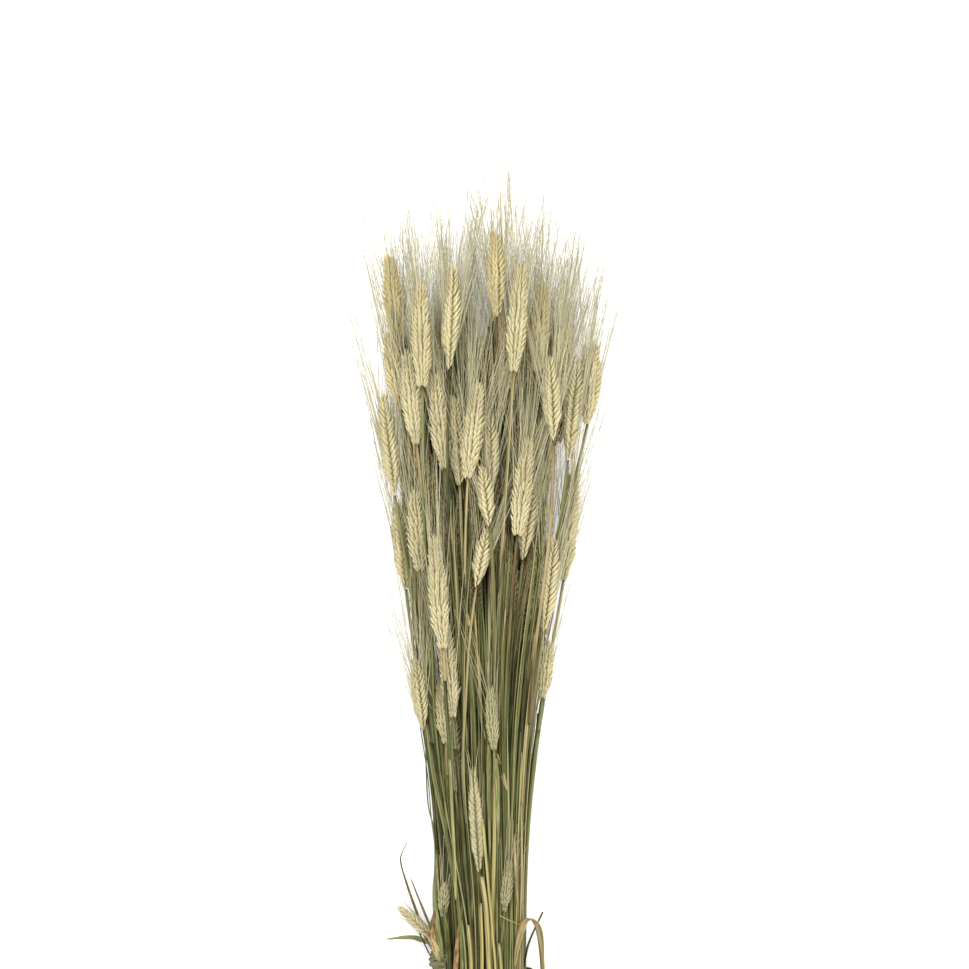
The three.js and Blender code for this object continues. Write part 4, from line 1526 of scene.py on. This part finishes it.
class WHEAT_OT_tie(bpy.types.Operator):
    """Winds the tie round the stems and laps its end at the left"""
    bl_idname = "wheat.tie"
    bl_label = "Tie"

    def execute(self, context):
        turns = []
        for n in range(TURNS):
            deselect()
            bpy.ops.mesh.primitive_cylinder_add(
                vertices=96, radius=1, depth=TURN_WIDTH * MM, end_fill_type="NOTHING",
                location=(0, (n - 1) * TURN_PITCH * MM, CENTRE_Z * MM), rotation=(math.pi / 2, 0, 0))
            turn = bpy.context.object
            turn.scale = ((TIE_A + TURN_OUT + 0.15 * n) * MM, (TIE_B + TURN_OUT) * MM, 1)
            bpy.ops.object.transform_apply(location=True, rotation=True, scale=True)
            places = corners(turn.data)
            angle = np.arctan2(places[:, 0], places[:, 2] - CENTRE_Z * MM)
            wave = TURN_WAVE * np.sin(angle * 2 + n * 1.9) + TURN_RIPPLE * np.sin(angle * 7 + n)
            places[:, 1] += wave - TURN_LOW
            move_corners(turn.data, places)
            mark(turn.data, "along", 0.5)
            turn.data.materials.append(FINISHES["tie"])
            thicken(turn, TURN_THICK)
            bevel = turn.modifiers.new("edges", "BEVEL")
            bevel.width = TURN_EDGE
            bevel.segments = 2
            bpy.ops.object.modifier_apply(modifier=bevel.name)
            bpy.ops.object.shade_smooth_by_angle(angle=math.radians(40))
            turns.append(turn)
        turns += [tie_lap(*lap) for lap in LAPS]
        whole = joined("tie_strip", turns)
        set_down(whole, "tie", "tie")
        return {"FINISHED"}


# Camera and light: the photo's side in pixels, its scale, the pixel of the origin, heights in metres, and each
# light's name, place, size and power.
PHOTO_SIDE = 969
MM_PER_PIXEL = 0.74
PHOTO_ORIGIN = (482, 981)
EYE_HEIGHT = 2.5
FOCUS_HEIGHT = 0.05
SENSOR = 36.0
LIGHTS = (
    ("key", (-0.55, 0.95, 2.1), 1.5, 57),
    ("fill", (0.85, 0.0, 2.0), 1.6, 41),
)
ROOM_LIGHT = 0.8


class WHEAT_OT_stage(bpy.types.Operator):
    """Sets the floor, soft light and the camera that looks down on the bunch"""
    bl_idname = "wheat.stage"
    bl_label = "Stage"

    def execute(self, context):
        middle = PHOTO_SIDE / 2
        eye_x = (middle - PHOTO_ORIGIN[0]) * MM_PER_PIXEL * MM
        eye_y = (PHOTO_ORIGIN[1] - middle) * MM_PER_PIXEL * MM
        deselect()
        bpy.ops.mesh.primitive_plane_add(size=8, location=(eye_x, eye_y, -FLOOR_GAP))
        floor = bpy.context.object
        floor.name = "floor"
        floor.data.materials.append(FINISHES["floor"])
        camera_data = bpy.data.cameras.new("camera")
        camera_data.sensor_width = SENSOR
        camera_data.lens = SENSOR * (EYE_HEIGHT - FOCUS_HEIGHT) / (PHOTO_SIDE * MM_PER_PIXEL * MM)
        camera = bpy.data.objects.new("camera", camera_data)
        camera.location = (eye_x, eye_y, EYE_HEIGHT)
        context.collection.objects.link(camera)
        context.scene.camera = camera
        for name, place, size, power in LIGHTS:
            light_data = bpy.data.lights.new(name, "AREA")
            light_data.size = size
            light_data.energy = power
            light = bpy.data.objects.new(name, light_data)
            light.location = place
            toward = Vector((eye_x, eye_y, 0)) - Vector(place)
            light.rotation_euler = toward.to_track_quat("-Z", "Y").to_euler()
            context.collection.objects.link(light)
        world = bpy.data.worlds.new("soft_room")
        world.use_nodes = True
        world.node_tree.nodes["Background"].inputs["Color"].default_value = (1, 1, 1, 1)
        world.node_tree.nodes["Background"].inputs["Strength"].default_value = ROOM_LIGHT
        context.scene.world = world
        context.scene.view_settings.view_transform = "Standard"
        return {"FINISHED"}


class WHEAT_PT_bunch(bpy.types.Panel):
    """Lists the steps of the bunch"""
    bl_label = "Wheat bunch"
    bl_idname = "WHEAT_PT_bunch"
    bl_space_type = "VIEW_3D"
    bl_region_type = "UI"
    bl_category = "Wheat"

    def draw(self, context):
        for step in STEPS:
            self.layout.operator(step.bl_idname)


STEPS = (
    WHEAT_OT_stage,
    WHEAT_OT_stems,
    WHEAT_OT_loose_straws,
    WHEAT_OT_ears,
    WHEAT_OT_blades,
    WHEAT_OT_loose_blades,
    WHEAT_OT_front,
    WHEAT_OT_tie,
)
CLASSES = (WheatSizes, WheatColours) + STEPS + (WHEAT_PT_bunch,)


def register():
    """Adds the classes and the settings."""
    for cls in CLASSES:
        bpy.utils.register_class(cls)
    bpy.types.Scene.wheat_sizes = PointerProperty(type=WheatSizes)
    bpy.types.Scene.wheat_colours = PointerProperty(type=WheatColours)


def unregister():
    """Removes the settings and the classes."""
    del bpy.types.Scene.wheat_colours
    del bpy.types.Scene.wheat_sizes
    for cls in reversed(CLASSES):
        bpy.utils.unregister_class(cls)


def main():
    """Builds the whole scene."""
    register()
    FINISHES.update(build_finishes(bpy.context.scene.wheat_colours))
    bpy.ops.wheat.stage()
    bpy.ops.wheat.stems()
    bpy.ops.wheat.loose_straws()
    bpy.ops.wheat.ears()
    bpy.ops.wheat.blades()
    bpy.ops.wheat.loose_blades()
    bpy.ops.wheat.front()
    bpy.ops.wheat.tie()


if __name__ == "__main__":
    main()
